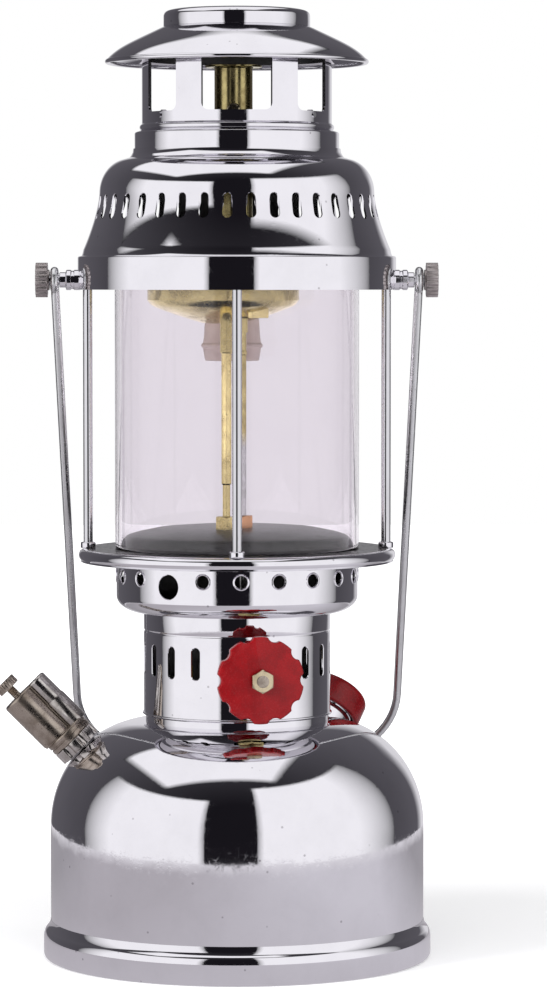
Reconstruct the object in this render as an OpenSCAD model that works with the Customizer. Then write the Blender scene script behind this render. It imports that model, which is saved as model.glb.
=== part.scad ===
// Kerosene pressure lantern: fuel tank, ventilated cage, glass, burner and lift-off hood.
// Millimetres, Z up, the middle of the foot ring at the origin, the front towards -Y.

/* [Tank] */
// Outer radius of the fuel tank at its straight wall
tank_r = 79; // [77:0.5:80.5]
// Height of the tank's crown above the table
tank_h = 100; // [96:0.5:104]
// Thickness of the tank's sheet
tank_wall = 1; // [0.8:0.1:1.4]
// Height at which the straight wall turns into the shoulder
shoulder_z = 56; // [50:1:60]
// Radius of the flat crown inside the shoulder
crown_r = 38; // [34:1:42]
// How far the foot ring stands out from the tank's wall
skirt_out = 3; // [2.5:0.1:5]
// Height of the foot ring
skirt_h = 16; // [12:1:20]
// Height of the raised tank bottom above the table
bottom_z = 7; // [5:0.5:10]

/* [Drums] */
// Outer radius of the lower ventilated drum
low_drum_r = 39.5; // [38.5:0.5:41]
// Height of the lower drum
low_drum_h = 42; // [40:0.5:46]
// How far the upper drum's wall stays inside the line of the glass
up_drum_in = 0.5; // [0:0.1:2]
// Height of the upper drum, with the gallery plate on it
up_drum_h = 27; // [25:0.5:30]
// Thickness of the drum sheets
drum_wall = 0.8; // [0.6:0.1:1.2]
// Number of air slots around the lower drum
low_slots = 20; // [12:1:24]
// Width of an air slot in the lower drum
low_slot_w = 3.8; // [2.5:0.1:4.5]
// Length of an air slot in the lower drum
low_slot_l = 13.2; // [8:0.2:14]
// Diameter of the small air holes in the upper drum
air_hole_d = 5.2; // [3:0.2:6]
// Diameter of the lighting hole in the upper drum
light_hole_d = 10; // [7:0.5:11]

/* [Gallery] */
// Outer radius of the gallery plate that carries the glass
gallery_r = 66.9; // [66:0.5:70]
// Height of the gallery plate's turned-down rim
gallery_rim_h = 5.5; // [4:0.5:7]
// Height of the black heat shield above the gallery plate
shield_h = 6; // [4:0.5:8]

/* [Cage] */
// Diameter of the four cage rods
rod_d = 4; // [3:0.2:4.4]
// Radius of the circle on which the rods stand
rod_circle_r = 62.9; // [62.4:0.1:63.2]
// Height of the bail's pivots above the lower edge of the cage's top ring
ear_up = 2; // [1.5:0.1:4]
// Diameter of the bolts that carry the bail
ear_bolt_d = 4; // [3.5:0.1:4.4]
// Distance of the bail's eyes from the lantern's axis
bail_x = 76.8; // [76:0.2:78]
// Diameter of the bail wire
bail_d = 3.5; // [3:0.1:4]
// Length of the bail from its pivots to the middle of its grip
bail_len = 223; // [215:1:230]
// Distance between the bail's legs where the lower bends start
bail_grip_w = 141; // [130:1:145]
// Radius of the bail's lower bends
bail_bend_r = 30; // [20:1:36]
// Diameter of the thumb nuts on the ear bolts
thumb_d = 14.7; // [12:0.1:18]

/* [Glass] */
// Outer radius of the glass cylinder
glass_r = 51.5; // [50:0.5:54]
// Thickness of the glass
glass_wall = 2; // [1.5:0.1:2.6]
// Height of the glass cylinder
glass_h = 112; // [105:0.5:112]

/* [Hood] */
// Outer radius of the hood's lower band
band_r = 67; // [66.9:0.1:70]
// How far the hood's band hangs below the cage's top ring
band_drop = 2; // [1.5:0.1:2.5]
// Height of the hood's lower band
band_h = 14; // [13:0.5:15]
// Thickness of the hood sheet
hood_wall = 0.8; // [0.6:0.1:1]
// Outer radius of the hood's waist at the vent slots
waist_r = 57.8; // [56:0.2:60]
// Number of vent slots around the waist
vent_slots = 38; // [24:1:40]
// Width of a vent slot
vent_slot_w = 3; // [2:0.1:3.4]
// Length of a vent slot
vent_slot_l = 9.6; // [6:0.2:11]
// Outer radius of the windowed chimney
chimney_r = 39.9; // [38:0.5:41]
// Height of the chimney windows
window_h = 22; // [16:1:24]
// Angle that a front or back chimney window covers
front_window_deg = 43; // [36:1:46]
// Angle that a side chimney window covers
side_window_deg = 28.5; // [22:0.5:30]
// Outer radius of the umbrella-shaped brim
brim_r = 55; // [52:0.5:60]
// Outer radius of the top cap
cap_r = 30.8; // [28:0.2:32]
// Height of the top cap above the brim
cap_h = 8; // [6:0.2:10]

/* [Burner] */
// Outer radius of the brass mixing tube in the chimney
mix_r = 8; // [6:0.5:10]
// Radius of the shallow brass pan under the inner casing
pan_r = 32; // [28:1:36]
// Largest radius of the ceramic nozzle
nozzle_r = 13; // [11:0.5:14]
// Diameter of the vaporiser tube
vap_d = 3.6; // [3.2:0.1:4.2]
// Diameter of the preheater tube
pre_d = 4.2; // [3.6:0.1:4.6]

/* [Valve] */
// Angle of the valve spindle to the right of the front
valve_az = 10; // [6:1:14]
// Height of the valve spindle above the tank's crown
valve_up = 22; // [20:0.5:24]
// Diameter of the valve spindle
spindle_d = 5; // [4:0.2:5.6]
// Diameter of the red control wheel over its lobes
wheel_d = 36; // [30:1:38]
// Number of lobes around the control wheel
wheel_lobes = 10; // [8:1:12]
// Distance of the wheel's front face from the lantern's axis
wheel_s = 57; // [55:0.5:60]
// Offset of the eccentric that lifts the cleaning needle
cam_e = 1.4; // [0.8:0.1:1.4]

/* [Pump] */
// Direction of the pump seen from above, turned back from the right side
pump_az = 52; // [48:1:54]
// Tilt of the pump axis above the horizontal
pump_tilt = 50; // [48:1:54]
// How far inside the line of the tank's wall the pump enters the tank
pump_in = 21; // [19:0.5:22]
// Outer diameter of the pump tube
pump_d = 20; // [16:0.5:21]
// Distance of the pump tube's inner end from the lantern's axis
pump_end_r = 9.15; // [8:0.05:14]
// Diameter of the pump knob
knob_d = 32; // [28:1:33]

/* [Filler] */
// Tilt of the filler axis above the horizontal
filler_tilt = 45; // [43:1:47]
// Radius of the filler cap's collar
collar_r = 10; // [9.2:0.2:11]
// Diameter of the barrel that holds the bleed screw
barrel_d = 15.2; // [14:0.2:16]
// Diameter of the gauge tube beside the barrel
gauge_d = 10; // [9:0.2:11]
// Length of the barrel and of the gauge tube
barrel_l = 24.5; // [20:0.5:28]
// Diameter of the bleed screw's head
bleed_d = 9.8; // [8:0.2:12]

/* [Fits] */
// Radial clearance of a turning shaft in its hole
shaft_fit = 0.06; // [0.04:0.01:0.08]
// Gap between pieces that pass each other
run_gap = 0.3; // [0.25:0.05:0.4]

/* [Hidden] */

$fn = 64;
eps = 0.02;
arc_steps = 10;

chrome = "#c9ccd1";
brass = "#b8923f";
nickel = "#9c9088";
red = "#c4121a";
black = "#1c1c1e";

// Tank
shoulder_a = tank_r - crown_r;
shoulder_b = tank_h - shoulder_z;
skirt_r = tank_r + skirt_out;
skirt_foot_t = 1.5;
skirt_lip_r = tank_r - 3;
skirt_round = 2;
bottom_rim_h = 4;
tank_top_cut = 4;
function shoulder_height(r) = shoulder_z + shoulder_b * sqrt(max(0, 1 - pow((r - crown_r) / shoulder_a, 2)));

// Filler: the point of the shoulder whose normal has the filler's tilt
filler_t = atan(tan(filler_tilt) * shoulder_b / shoulder_a);
filler_r = crown_r + shoulder_a * cos(filler_t);
filler_z = shoulder_z + shoulder_b * sin(filler_t);
spout_r = 7;
filler_hole_h = 16;
pump_hole_h = 28;
spout_u = -2;
spout_h = 6.2;
spout_wall = 1.2;
ring_u = 0.1;
ring_len = 5.3;
collar_u = ring_u + ring_len;
collar_h = 4.7;
barrel_u = collar_u + collar_h;
barrel_v = -(collar_r + 1.2 - barrel_d / 2);
gauge_v = collar_r + 1.4 - gauge_d / 2;
bleed_head_h = 3.8;
bleed_neck = 4.6;
bleed_shank_d = 3.7;
bleed_depth = 6;
seal_gap = 0.1;

// Drums and gallery
neck_h = 4;
neck_top_z = tank_h + neck_h;
neck_in = 0.8;
neck_r = low_drum_r - neck_in;
neck_wall = 1.4;
neck_bead_h = 1;
neck_bead = 0.6;
neck_bead_r = low_drum_r + neck_bead;
drum_seam_z = neck_top_z + low_drum_h;
up_drum_r = glass_r - up_drum_in;
drum_round = 7;
up_drum_z = drum_seam_z + drum_round;
low_slot_up = 22.8;
low_slot_z = neck_top_z + low_slot_up;
groove_drop = 7.6;
groove_z = drum_seam_z - groove_drop;
groove_r = 0.6;
air_hole_up = 9;
air_hole_z = up_drum_z + air_hole_up;
air_hole_az = 1.9;
air_holes = 20;
light_hole_az = -34;
light_hole_up = 6.4;
light_hole_z = up_drum_z + light_hole_up;
hole_reach = 4;
gallery_z = drum_seam_z + up_drum_h;
gallery_t = 1;
gallery_round = 0.8;
shield_t = 0.8;
shield_r = glass_r - glass_wall - 0.6;
shield_top_r = shield_r - 4.5;
shield_z = gallery_z + shield_h;

// Cage
ring_fit = 0.4;
ring_r = band_r - hood_wall - ring_fit;
ring_wall = 0.8;
glass_grip = 1;
ring_z = gallery_z + glass_h - glass_grip;
band_z = ring_z - band_drop;
flange_t = 1.5;
flange_in_r = 59.6;
ring_top_z = band_z + band_h - hood_wall - run_gap;
ear_z = ring_z + ear_up;
rod_foot_d = 6.4;
rod_foot_h = 2.6;
boss_d = 8.6;
boss_x = 72;
bolt_shoulder_d = 6.5;
bolt_shoulder_x = 74.7;
bolt_end_x = 83.2;
thumb_x = 79.7;
thumb_t = 5;
thumb_hub_x = bail_x + bail_d / 2 + run_gap;
eye_r = ear_bolt_d / 2 + shaft_fit + bail_d / 2;

// Bail: legs lean in, and the bail leans on the shoulder behind the tank
leg_lean = atan((bail_x - bail_grip_w / 2) / (bail_len - bail_bend_r));
leg_end = (bail_len - bail_bend_r * (1 - sin(leg_lean))) / cos(leg_lean);
eye_weld = 0.5;
rest_gap = 0.4;
function bail_reach(a) = norm([
    bail_len * sin(a) - crown_r, (ear_z - bail_len * cos(a) - shoulder_z) * shoulder_a / shoulder_b]);
bail_lean = min([for (a = [10:0.1:40])
    if (bail_reach(a) >= shoulder_a + bail_d / 2 + rest_gap) a]);

// Hood
band_top_z = band_z + band_h;
foot_r = 64.6;
foot_rise = 2.7;
foot_z = band_top_z + foot_rise;
waist_rise = 26.5;
waist_z = band_top_z + waist_rise;
dome_in_r = 45.5;
dome_h = 14.3;
dome_top_z = waist_z + dome_h;
socket_r = 43;
socket_rise = 4.2;
socket_z = dome_top_z + socket_rise;
socket_h = 7;
socket_end_z = socket_z + socket_h;
bead_r = 0.9;
bead_h = 2;
window_sill = 8;
window_z = socket_end_z + window_sill;
window_round = 3;
side_window_az = 53.25;
vent_drop = 5.8;
vent_z = waist_z - vent_drop;
vent_az = -3.8;
brim_in_r = cap_r - 1;
brim_drop = 16.2;
brim_cover = 2.2;
brim_edge_r = 1;
brim_z = window_z + window_h - brim_cover;
cap_z = brim_z + brim_drop;
cap_top_z = cap_z + cap_h;
cap_round = 2.4;
cap_crown = 1.2;
cap_step = 0.4;
hood_screw_d = 2.2;
screw_head_h = 2.2;
screw_head_d = 4.4;
screw_seat_r = chimney_r - hood_wall - 0.1;
screw_tip = 0.4;
screw_drop = 1.6;
function brim_height(r) =
    brim_z + brim_drop * sqrt(max(0, 1 - pow((r - brim_in_r - 1) / (brim_r - brim_in_r - 0.6), 2)));
chimney_top_z = brim_height(chimney_r + 0.4) - hood_wall;
ear_slot_w = boss_d + 1.4;

// Burner
mix_x = -1.4;
mix_wall = 0.8;
mix_rise = 20;
mix_top_z = window_z + mix_rise;
mix_flange_r = 12;
casing_t = 0.8;
casing_z = ring_z + flange_t + casing_t;
casing_top_r = 14;
casing_rise = 12;
casing_out_r = ring_r - ring_wall - 0.4;
pan_x = -5.8;
pan_drop = 5;
pan_rim_z = ring_z - pan_drop;
pan_depth = 12;
pan_tip_z = pan_rim_z - pan_depth;
pan_wall_h = 6;
pan_t = 1;
nozzle_x = -2.1;
nozzle_y = 4;
nozzle_drop = 15;
nozzle_z = pan_tip_z - nozzle_drop;
nozzle_h = 18;
nozzle_bore_r = 8;
nozzle_bore_h = 8;
nozzle_belt_z = 5.6;
nozzle_belt_h = 1.6;
nozzle_neck_z = nozzle_belt_z + nozzle_belt_h;
nozzle_foot_in = 1.6;
nozzle_belt_in = 0.6;
flow_nut_af = 8.6;
flow_nut_h = 8.5;
vap_s = 12.2;
pre_x = -4.4;
pre_y = -20.4;
sleeve_d = 5.2;
sleeve_drop = 11.4;
sleeve_z = pan_tip_z - sleeve_drop;
tube_wall = 0.7;
elbow_w = 8.5;
elbow_x = 4.6;
elbow_y = -16;
mix_screw_up = 1;
mix_screw_z = window_z + mix_screw_up;
pan_top_z = pan_rim_z + pan_wall_h;
jet_drop = 3;
jet_z = pan_tip_z - jet_drop;
jet_h = 6;
jet_r = 2.4;
needle_tip_d = 0.6;
elbow_up = 3;
elbow_z = pan_tip_z + elbow_up;
elbow_h = 15;

pickup_r = 3;

// Valve: s is the distance from the lantern's axis along the spindle
block_r = 10;
valve_z = tank_h + valve_up;
block_up = 14;
block_top_z = valve_z + block_up;
chamber_r = cam_e + 3.4;
cam_r = 2.6;
cam_t = 4;
needle_d = 1.2;
needle_foot_d = 3.6;
needle_foot_h = 2;
needle_gap = 0.6;
needle_travel = 3;
plug_s = vap_s + cam_t / 2 + 1.2;
box_s = vap_s + block_r;
box_end_s = 36;
box_r = 6.4;
gland_end_s = 44;
gland_af = 12.8;
gland_r = gland_af / 2 / cos(30);
hub_len = 5;
wheel_t = 4.5;
wheel_nut_af = 7.6;
wheel_nut_h = 4;
scallop_r = 2.6;
drum_hole_r = gland_r + 1.2;

// Pump
pump_entry_r = tank_r - pump_in;
pump_len = (pump_entry_r - pump_end_r) / cos(pump_tilt);
pump_entry_z = shoulder_height(pump_entry_r);
pump_wall = 1;
pump_bore_r = pump_d / 2 - pump_wall;
pump_collar_d = pump_d + 5;
guide_u = 1;
guide_h = 5;
flange_u = guide_u + guide_h;
guide_top = flange_u + 2;
pump_rod_d = 4.5;
cup_h = 5;
cup_down = 1.5;
knob_t = 6;
knob_gap = 2;
valve_h = 6;
cup_u = valve_h - pump_len + cup_down;
knob_u = guide_top + knob_gap;

// Half of a rounded ring: an outline's quarter arc from angle a0 to a1, centre (x, z)
function arc(x, z, rx, rz, a0, a1, n = arc_steps) =
    [for (i = [0:n]) let (a = a0 + (a1 - a0) * i / n) [x + rx * cos(a), z + rz * sin(a)]];
function shift_in(pts, dx, dz) = [for (p = pts) [p[0] + dx, p[1] + dz]];
function backwards(pts) = [for (i = [len(pts) - 1:-1:0]) pts[i]];

// A slot with round ends, cut radially: width w, length l, from radius r0 to r1
module radial_slot(az, z, w, l, r0, r1) {
    rotate([0, 0, az - 90]) translate([r0, 0, z]) rotate([0, 90, 0]) {
        translate([-(l - w) / 2, -w / 2, 0]) cube([l - w, w, r1 - r0]);
        for (side = [-1, 1]) translate([side * (l - w) / 2, 0, 0]) cylinder(h = r1 - r0, d = w, $fn = 24);
    }
}

module radial_hole(az, z, d, r0, r1) {
    rotate([0, 0, az - 90]) translate([r0, 0, z]) rotate([0, 90, 0]) cylinder(h = r1 - r0, d = d, $fn = 32);
}

module hex(af, h) {
    cylinder(h = h, d = af / cos(30), $fn = 6);
}

module tube(h, r, wall) {
    difference() {
        cylinder(h = h, r = r);
        translate([0, 0, -1]) cylinder(h = h + 2, r = r - wall);
    }
}

// ---- Tank ----
module shoulder_outline(inset) {
    polygon(concat(
        [[0, skirt_foot_t], [tank_r - inset, skirt_foot_t]],
        arc(crown_r, shoulder_z, shoulder_a - inset, shoulder_b - inset, 0, 90, 2 * arc_steps),
        [[0, tank_h - inset]]));
}

module pump_axis() {
    rotate([0, 0, pump_az]) translate([pump_entry_r, 0, pump_entry_z]) rotate([0, 90 - pump_tilt, 0])
        children();
}

module filler_axis() {
    translate([-filler_r, 0, filler_z]) rotate([0, filler_tilt - 90, 0]) children();
}

module vap_axis() {
    rotate([0, 0, valve_az]) translate([0, -vap_s, 0]) children();
}

// The spindle's frame: local Z runs outwards along the spindle from the lantern's axis
module spindle_axis() {
    rotate([0, 0, valve_az]) translate([0, 0, valve_z]) rotate([90, 0, 0]) children();
}

module tank_shell() {
    color(chrome) difference() {
        rotate_extrude() difference() {
            shoulder_outline(0);
            shoulder_outline(tank_wall);
            translate([0, skirt_foot_t - 1]) square([tank_r - tank_wall, 2]);
        }
        filler_axis() translate([0, 0, -filler_hole_h / 2]) cylinder(h = filler_hole_h, r = spout_r);
        pump_axis() translate([0, 0, -pump_hole_h / 2]) cylinder(h = pump_hole_h, d = pump_d);
        vap_axis() translate([0, 0, tank_h - tank_top_cut]) cylinder(h = 2 * tank_top_cut, r = pickup_r);
    }
}
module tank_bottom() {
    color(chrome) translate([0, 0, bottom_z]) {
        tube(bottom_rim_h, tank_r - tank_wall, tank_wall);
        cylinder(h = tank_wall, r = tank_r - tank_wall);
    }
}

module base_skirt() {
    color(chrome) rotate_extrude() polygon(concat(
        [[skirt_lip_r, 0], [skirt_r - skirt_round, 0]],
        arc(skirt_r - skirt_round, skirt_round, skirt_round, skirt_round, -90, 0),
        arc(skirt_r - skirt_round, skirt_h - skirt_round, skirt_round, skirt_round, 0, 90),
        [[tank_r, skirt_h], [tank_r, skirt_foot_t], [skirt_lip_r, skirt_foot_t]]));
}

// ---- Filler cap ----
module filler_spout() {
    color(chrome) filler_axis() translate([0, 0, spout_u]) tube(spout_h, spout_r, spout_wall);
}

module filler_ring() {
    grips = 8;
    color(nickel) filler_axis() translate([0, 0, ring_u]) difference() {
        cylinder(h = ring_len, r = collar_r);
        translate([0, 0, -1]) cylinder(h = ring_len + 2, r = spout_r + shaft_fit);
        for (i = [0:grips - 1]) rotate([0, 0, (i + 0.5) * 360 / grips])
            translate([collar_r + 1.2, 0, -1]) cylinder(h = ring_len, r = 2.4, $fn = 24);
    }
}

module filler_seal() {
    seal_u = spout_u + spout_h + seal_gap;
    color(black) filler_axis() translate([0, 0, seal_u]) tube(collar_u - seal_u, spout_r - seal_gap, 3);
}

module filler_barrel() {
    color(nickel) filler_axis() difference() {
        union() {
            translate([0, 0, collar_u]) cylinder(h = collar_h, r = collar_r);
            translate([barrel_v, 0, barrel_u]) cylinder(h = barrel_l, d = barrel_d);
        }
        translate([barrel_v, 0, barrel_u + barrel_l - bleed_depth])
            cylinder(h = bleed_depth + 1, d = bleed_shank_d + 2 * shaft_fit);
        translate([gauge_v, 0, barrel_u - 1]) cylinder(h = barrel_l + 2, d = gauge_d);
    }
}

module gauge_tube() {
    cap_l = 0.48 * barrel_l;
    color(chrome) filler_axis() translate([gauge_v, 0, barrel_u - 1]) {
        cylinder(h = barrel_l + 1 - cap_l, d = gauge_d);
        translate([0, 0, barrel_l + 1 - cap_l]) cylinder(h = cap_l, d = gauge_d - 0.6);
    }
}

module bleed_screw() {
    color(nickel) filler_axis() translate([barrel_v, 0, barrel_u + barrel_l]) {
        translate([0, 0, run_gap - bleed_depth]) cylinder(h = bleed_depth + bleed_neck, d = bleed_shank_d);
        translate([0, 0, bleed_neck]) difference() {
            cylinder(h = bleed_head_h, d = bleed_d);
            translate([-bleed_d, -0.6, bleed_head_h - 1.2]) cube([2 * bleed_d, 1.2, 2]);
        }
    }
}

// ---- Pump ----
module pump_collar() {
    color(chrome) difference() {
        pump_axis() translate([0, 0, -6]) tube(6 + flange_u, pump_collar_d / 2, (pump_collar_d - pump_d) / 2);
        rotate_extrude() shoulder_outline(0);
    }
}

module pump_tube() {
    color(brass) pump_axis() translate([0, 0, -pump_len]) tube(pump_len + guide_u, pump_d / 2, pump_wall);
}

module pump_check_valve() {
    color(brass) pump_axis() translate([0, 0, -pump_len]) cylinder(h = valve_h, r = pump_bore_r);
}

module pump_guide_cap() {
    color(chrome) pump_axis() difference() {
        union() {
            translate([0, 0, guide_u]) cylinder(h = guide_h, r = pump_d / 2 - eps);
            translate([0, 0, flange_u]) cylinder(h = guide_top - flange_u, d = pump_collar_d);
        }
        translate([0, 0, -1]) cylinder(h = guide_top + 4, r = pump_rod_d / 2 + shaft_fit);
    }
}

module pump_rod() {
    color(chrome) pump_axis() translate([0, 0, cup_u])
        cylinder(h = knob_u + knob_t - 2 - cup_u, d = pump_rod_d);
}

module pump_cup() {
    color("#4a3524") pump_axis() translate([0, 0, cup_u]) difference() {
        cylinder(h = cup_h, r = pump_bore_r - 0.08);
        translate([0, 0, -1]) cylinder(h = cup_h + 2, d = pump_rod_d);
    }
}

module pump_knob() {
    color(red) pump_axis() translate([0, 0, knob_u]) difference() {
        rotate_extrude() polygon(concat(
            [[0, 0], [4.5, 0], [4.5, 1.5]],
            arc(knob_d / 2 - 2, 1.5 + 2, 2, 2, -90, 0),
            arc(knob_d / 2 - 2, knob_t - 1, 2, 1.5, 0, 90),
            [[0, knob_t + 0.5]]));
        translate([0, 0, -1]) cylinder(h = knob_t - 1, d = pump_rod_d);
    }
}

// ---- Drums and gallery ----
module neck_ring() {
    color(chrome) rotate_extrude() difference() {
        union() {
            translate([neck_r - neck_wall, tank_h - neck_h]) square([neck_wall, 2 * neck_h - neck_bead_h]);
            translate([neck_r - neck_wall, neck_top_z - neck_bead_h])
                square([neck_bead_r - neck_r + neck_wall, neck_bead_h]);
        }
        shoulder_outline(0);
    }
}

module lower_drum() {
    color(chrome) difference() {
        translate([0, 0, neck_top_z]) tube(drum_seam_z - neck_top_z, low_drum_r, drum_wall);
        rotate_extrude() translate([low_drum_r + groove_r / 2, groove_z]) circle(r = groove_r, $fn = 16);
        for (i = [0:low_slots - 1]) if (min(i, low_slots - i) > 1)
            radial_slot(i * 360 / low_slots + valve_az, low_slot_z, low_slot_w, low_slot_l,
                low_drum_r - hole_reach, low_drum_r + hole_reach);
        spindle_axis() translate([0, 0, low_drum_r - 6]) cylinder(h = 12, r = drum_hole_r);
    }
}

module upper_drum() {
    round_in = up_drum_r - low_drum_r;
    outer = concat(arc(low_drum_r, up_drum_z, round_in, drum_round, -90, 0),
        [[up_drum_r, gallery_z - gallery_t]]);
    inner = concat([[up_drum_r - drum_wall, gallery_z - gallery_t]],
        arc(low_drum_r, up_drum_z, round_in - drum_wall, drum_round - drum_wall, 0, -90));
    color(chrome) difference() {
        rotate_extrude() polygon(concat([[low_drum_r - drum_wall, drum_seam_z]], outer, inner,
            [[low_drum_r - drum_wall, drum_seam_z + drum_wall]]));
        for (i = [0:air_holes - 1]) if (i != air_holes - 2)
            radial_hole(air_hole_az + i * 360 / air_holes, air_hole_z, air_hole_d,
                up_drum_r - hole_reach, up_drum_r + hole_reach);
        radial_hole(light_hole_az, light_hole_z, light_hole_d,
            up_drum_r - hole_reach, up_drum_r + hole_reach);
    }
}

module gallery_plate() {
    color(chrome) difference() {
        rotate_extrude() polygon(concat(
            [[low_drum_r, gallery_z - gallery_t], [gallery_r - gallery_t, gallery_z - gallery_t],
             [gallery_r - gallery_t, gallery_z - gallery_rim_h], [gallery_r, gallery_z - gallery_rim_h]],
            arc(gallery_r - gallery_round, gallery_z - gallery_round, gallery_round, gallery_round, 0, 90, 4),
            [[low_drum_r, gallery_z]]));
        for (i = [0:3]) rotate([0, 0, 90 * i]) translate([rod_circle_r, 0, gallery_z - 3])
            cylinder(h = 6, d = rod_d);
    }
}

module heat_shield() {
    color(black) difference() {
        rotate_extrude() polygon(concat(
            [[0, shield_z], [shield_top_r, shield_z]],
            arc(shield_top_r, gallery_z + 1, shield_r - shield_top_r, shield_h - 1, 75, 0, 6),
            [[shield_r, gallery_z], [shield_r - shield_t, gallery_z]],
            arc(shield_top_r - shield_t, gallery_z + 1, shield_r - shield_top_r,
                shield_h - 1 - shield_t, 0, 75, 6),
            [[shield_top_r - shield_t, shield_z - shield_t], [0, shield_z - shield_t]]));
        vap_axis() translate([0, 0, shield_z - 3]) cylinder(h = 6, d = vap_d);
        translate([pre_x, pre_y, shield_z - 3]) cylinder(h = 6, d = pre_d);
    }
}

// ---- Cage ----
module cage_rod(az) {
    color(chrome) rotate([0, 0, az - 90]) translate([rod_circle_r, 0, gallery_z - gallery_t])
        cylinder(h = ring_z + flange_t - gallery_z + gallery_t, d = rod_d);
}
module rod_front() { cage_rod(0); }
module rod_right() { cage_rod(90); }
module rod_back() { cage_rod(180); }
module rod_left() { cage_rod(270); }

module rod_feet() {
    color(chrome) for (i = [0:3]) rotate([0, 0, 90 * i]) translate([rod_circle_r, 0, gallery_z])
        tube(rod_foot_h, rod_foot_d / 2, (rod_foot_d - rod_d) / 2);
}

module top_ring() {
    color(chrome) difference() {
        union() {
            translate([0, 0, ring_z]) tube(ring_top_z - ring_z, ring_r, ring_wall);
            translate([0, 0, ring_z]) tube(flange_t, ring_r - ring_wall / 2, ring_r - flange_in_r);
        }
        for (i = [0:3]) rotate([0, 0, 90 * i]) translate([rod_circle_r, 0, ring_z - 3])
            cylinder(h = 3 + flange_t + 1, d = rod_d);
        for (side = [0, 180]) rotate([0, 0, side]) translate([ring_r - 3, 0, ear_z]) rotate([0, 90, 0])
            cylinder(h = 6, d = boss_d - 2);
    }
}

// Ears: local Z runs outwards along X
module ear_axis(side) {
    translate([0, 0, ear_z]) rotate([0, side * 90, 0]) children();
}

module ear_boss(side) {
    color(chrome) ear_axis(side) difference() {
        union() {
            translate([0, 0, ring_r - ring_wall]) cylinder(h = ring_wall, d = boss_d - 2);
            translate([0, 0, ring_r]) cylinder(h = boss_x - ring_r, d = boss_d);
        }
        translate([0, 0, ring_r - 2]) cylinder(h = 10, d = ear_bolt_d);
    }
}
module ear_boss_left() { ear_boss(-1); }
module ear_boss_right() { ear_boss(1); }

module ear_bolt(side) {
    color(chrome) ear_axis(side) {
        translate([0, 0, ring_r - ring_wall]) cylinder(h = bolt_end_x - ring_r + ring_wall, d = ear_bolt_d);
        translate([0, 0, boss_x]) cylinder(h = bolt_shoulder_x - boss_x, d = bolt_shoulder_d);
    }
}
module ear_bolt_left() { ear_bolt(-1); }
module ear_bolt_right() { ear_bolt(1); }

module thumb_nut(side) {
    grips = 16;
    color("#cfcbc6") ear_axis(side) difference() {
        union() {
            translate([0, 0, thumb_hub_x]) cylinder(h = thumb_x - thumb_hub_x + eps, d = thumb_d - 6);
            translate([0, 0, thumb_x]) cylinder(h = thumb_t, d = thumb_d);
        }
        translate([0, 0, thumb_hub_x - 1])
            cylinder(h = bolt_end_x + run_gap - thumb_hub_x + 1, r = ear_bolt_d / 2 + shaft_fit);
        for (i = [0:grips - 1]) rotate([0, 0, i * 360 / grips])
            translate([thumb_d / 2 + 0.3, 0, thumb_x - 1]) cylinder(h = thumb_t + 2, r = 0.9, $fn = 16);
    }
}
module thumb_nut_left() { thumb_nut(-1); }
module thumb_nut_right() { thumb_nut(1); }

module bail_half(side) {
    end_x = bail_x - leg_end * sin(leg_lean);
    end_z = -leg_end * cos(leg_lean);
    mid_x = end_x - bail_bend_r * cos(leg_lean);
    mirror([side < 0 ? 1 : 0, 0, 0]) {
        translate([bail_x, 0, 0]) rotate([0, 180 + leg_lean, 0]) translate([0, 0, eye_r - eye_weld])
            cylinder(h = leg_end - eye_r + eye_weld, d = bail_d, $fn = 32);
        translate([mid_x, 0, -bail_len + bail_bend_r]) rotate([90, 0, 0]) rotate([0, 0, -90])
            rotate_extrude(angle = 90 - leg_lean) translate([bail_bend_r, 0]) circle(d = bail_d, $fn = 32);
        translate([0, 0, -bail_len]) rotate([0, 90, 0]) cylinder(h = mid_x, d = bail_d, $fn = 32);
        translate([bail_x, 0, 0]) rotate([0, 90, 0]) rotate_extrude() intersection() {
            translate([eye_r, 0]) circle(d = bail_d, $fn = 32);
            translate([ear_bolt_d / 2 + shaft_fit, -bail_d]) square([2 * bail_d, 2 * bail_d]);
        }
    }
}

module bail() {
    color(chrome) translate([0, 0, ear_z]) rotate([bail_lean, 0, 0]) {
        bail_half(-1);
        bail_half(1);
    }
}

module glass() {
    color("#e8e4ec", 0.35) translate([0, 0, gallery_z + eps]) tube(glass_h, glass_r, glass_wall);
}

// ---- Hood ----
function flare(steps) = [for (i = [0:steps]) let (d = i / steps)
    [waist_r + (foot_r - waist_r) * pow(d, 1.5), waist_z + (foot_z - waist_z) * d]];

module dome_outline(inset) {
    polygon(concat(
        [[0, socket_z], [socket_r + 0.6 - inset, socket_z],
         [socket_r + 1.6 - inset, dome_top_z + 1.2 - inset]],
        arc(dome_in_r, waist_z, waist_r - dome_in_r - inset, dome_top_z - waist_z - inset, 80, 0),
        shift_in(flare(8), -inset, -inset / 3),
        [[foot_r - inset + 0.6, band_top_z - inset], [band_r - inset, band_top_z - inset],
         [band_r - inset, band_z], [0, band_z]]));
}

module hood_dome() {
    color(chrome) difference() {
        rotate_extrude() difference() {
            dome_outline(0);
            dome_outline(hood_wall);
            translate([0, band_z - 1]) square([band_r - hood_wall, 2]);
            translate([0, socket_z - 4]) square([socket_r, 8]);
        }
        for (i = [0:vent_slots - 1]) radial_slot(i * 360 / vent_slots + vent_az, vent_z, vent_slot_w,
            vent_slot_l, waist_r - 5, waist_r + 6);
        for (side = [0, 180]) rotate([0, 0, side]) {
            translate([band_r - 4, -ear_slot_w / 2, band_z - 1]) cube([8, ear_slot_w, ear_z - band_z + 1]);
            translate([band_r - 4, 0, ear_z]) rotate([0, 90, 0]) cylinder(h = 8, d = ear_slot_w);
        }
    }
}

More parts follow.
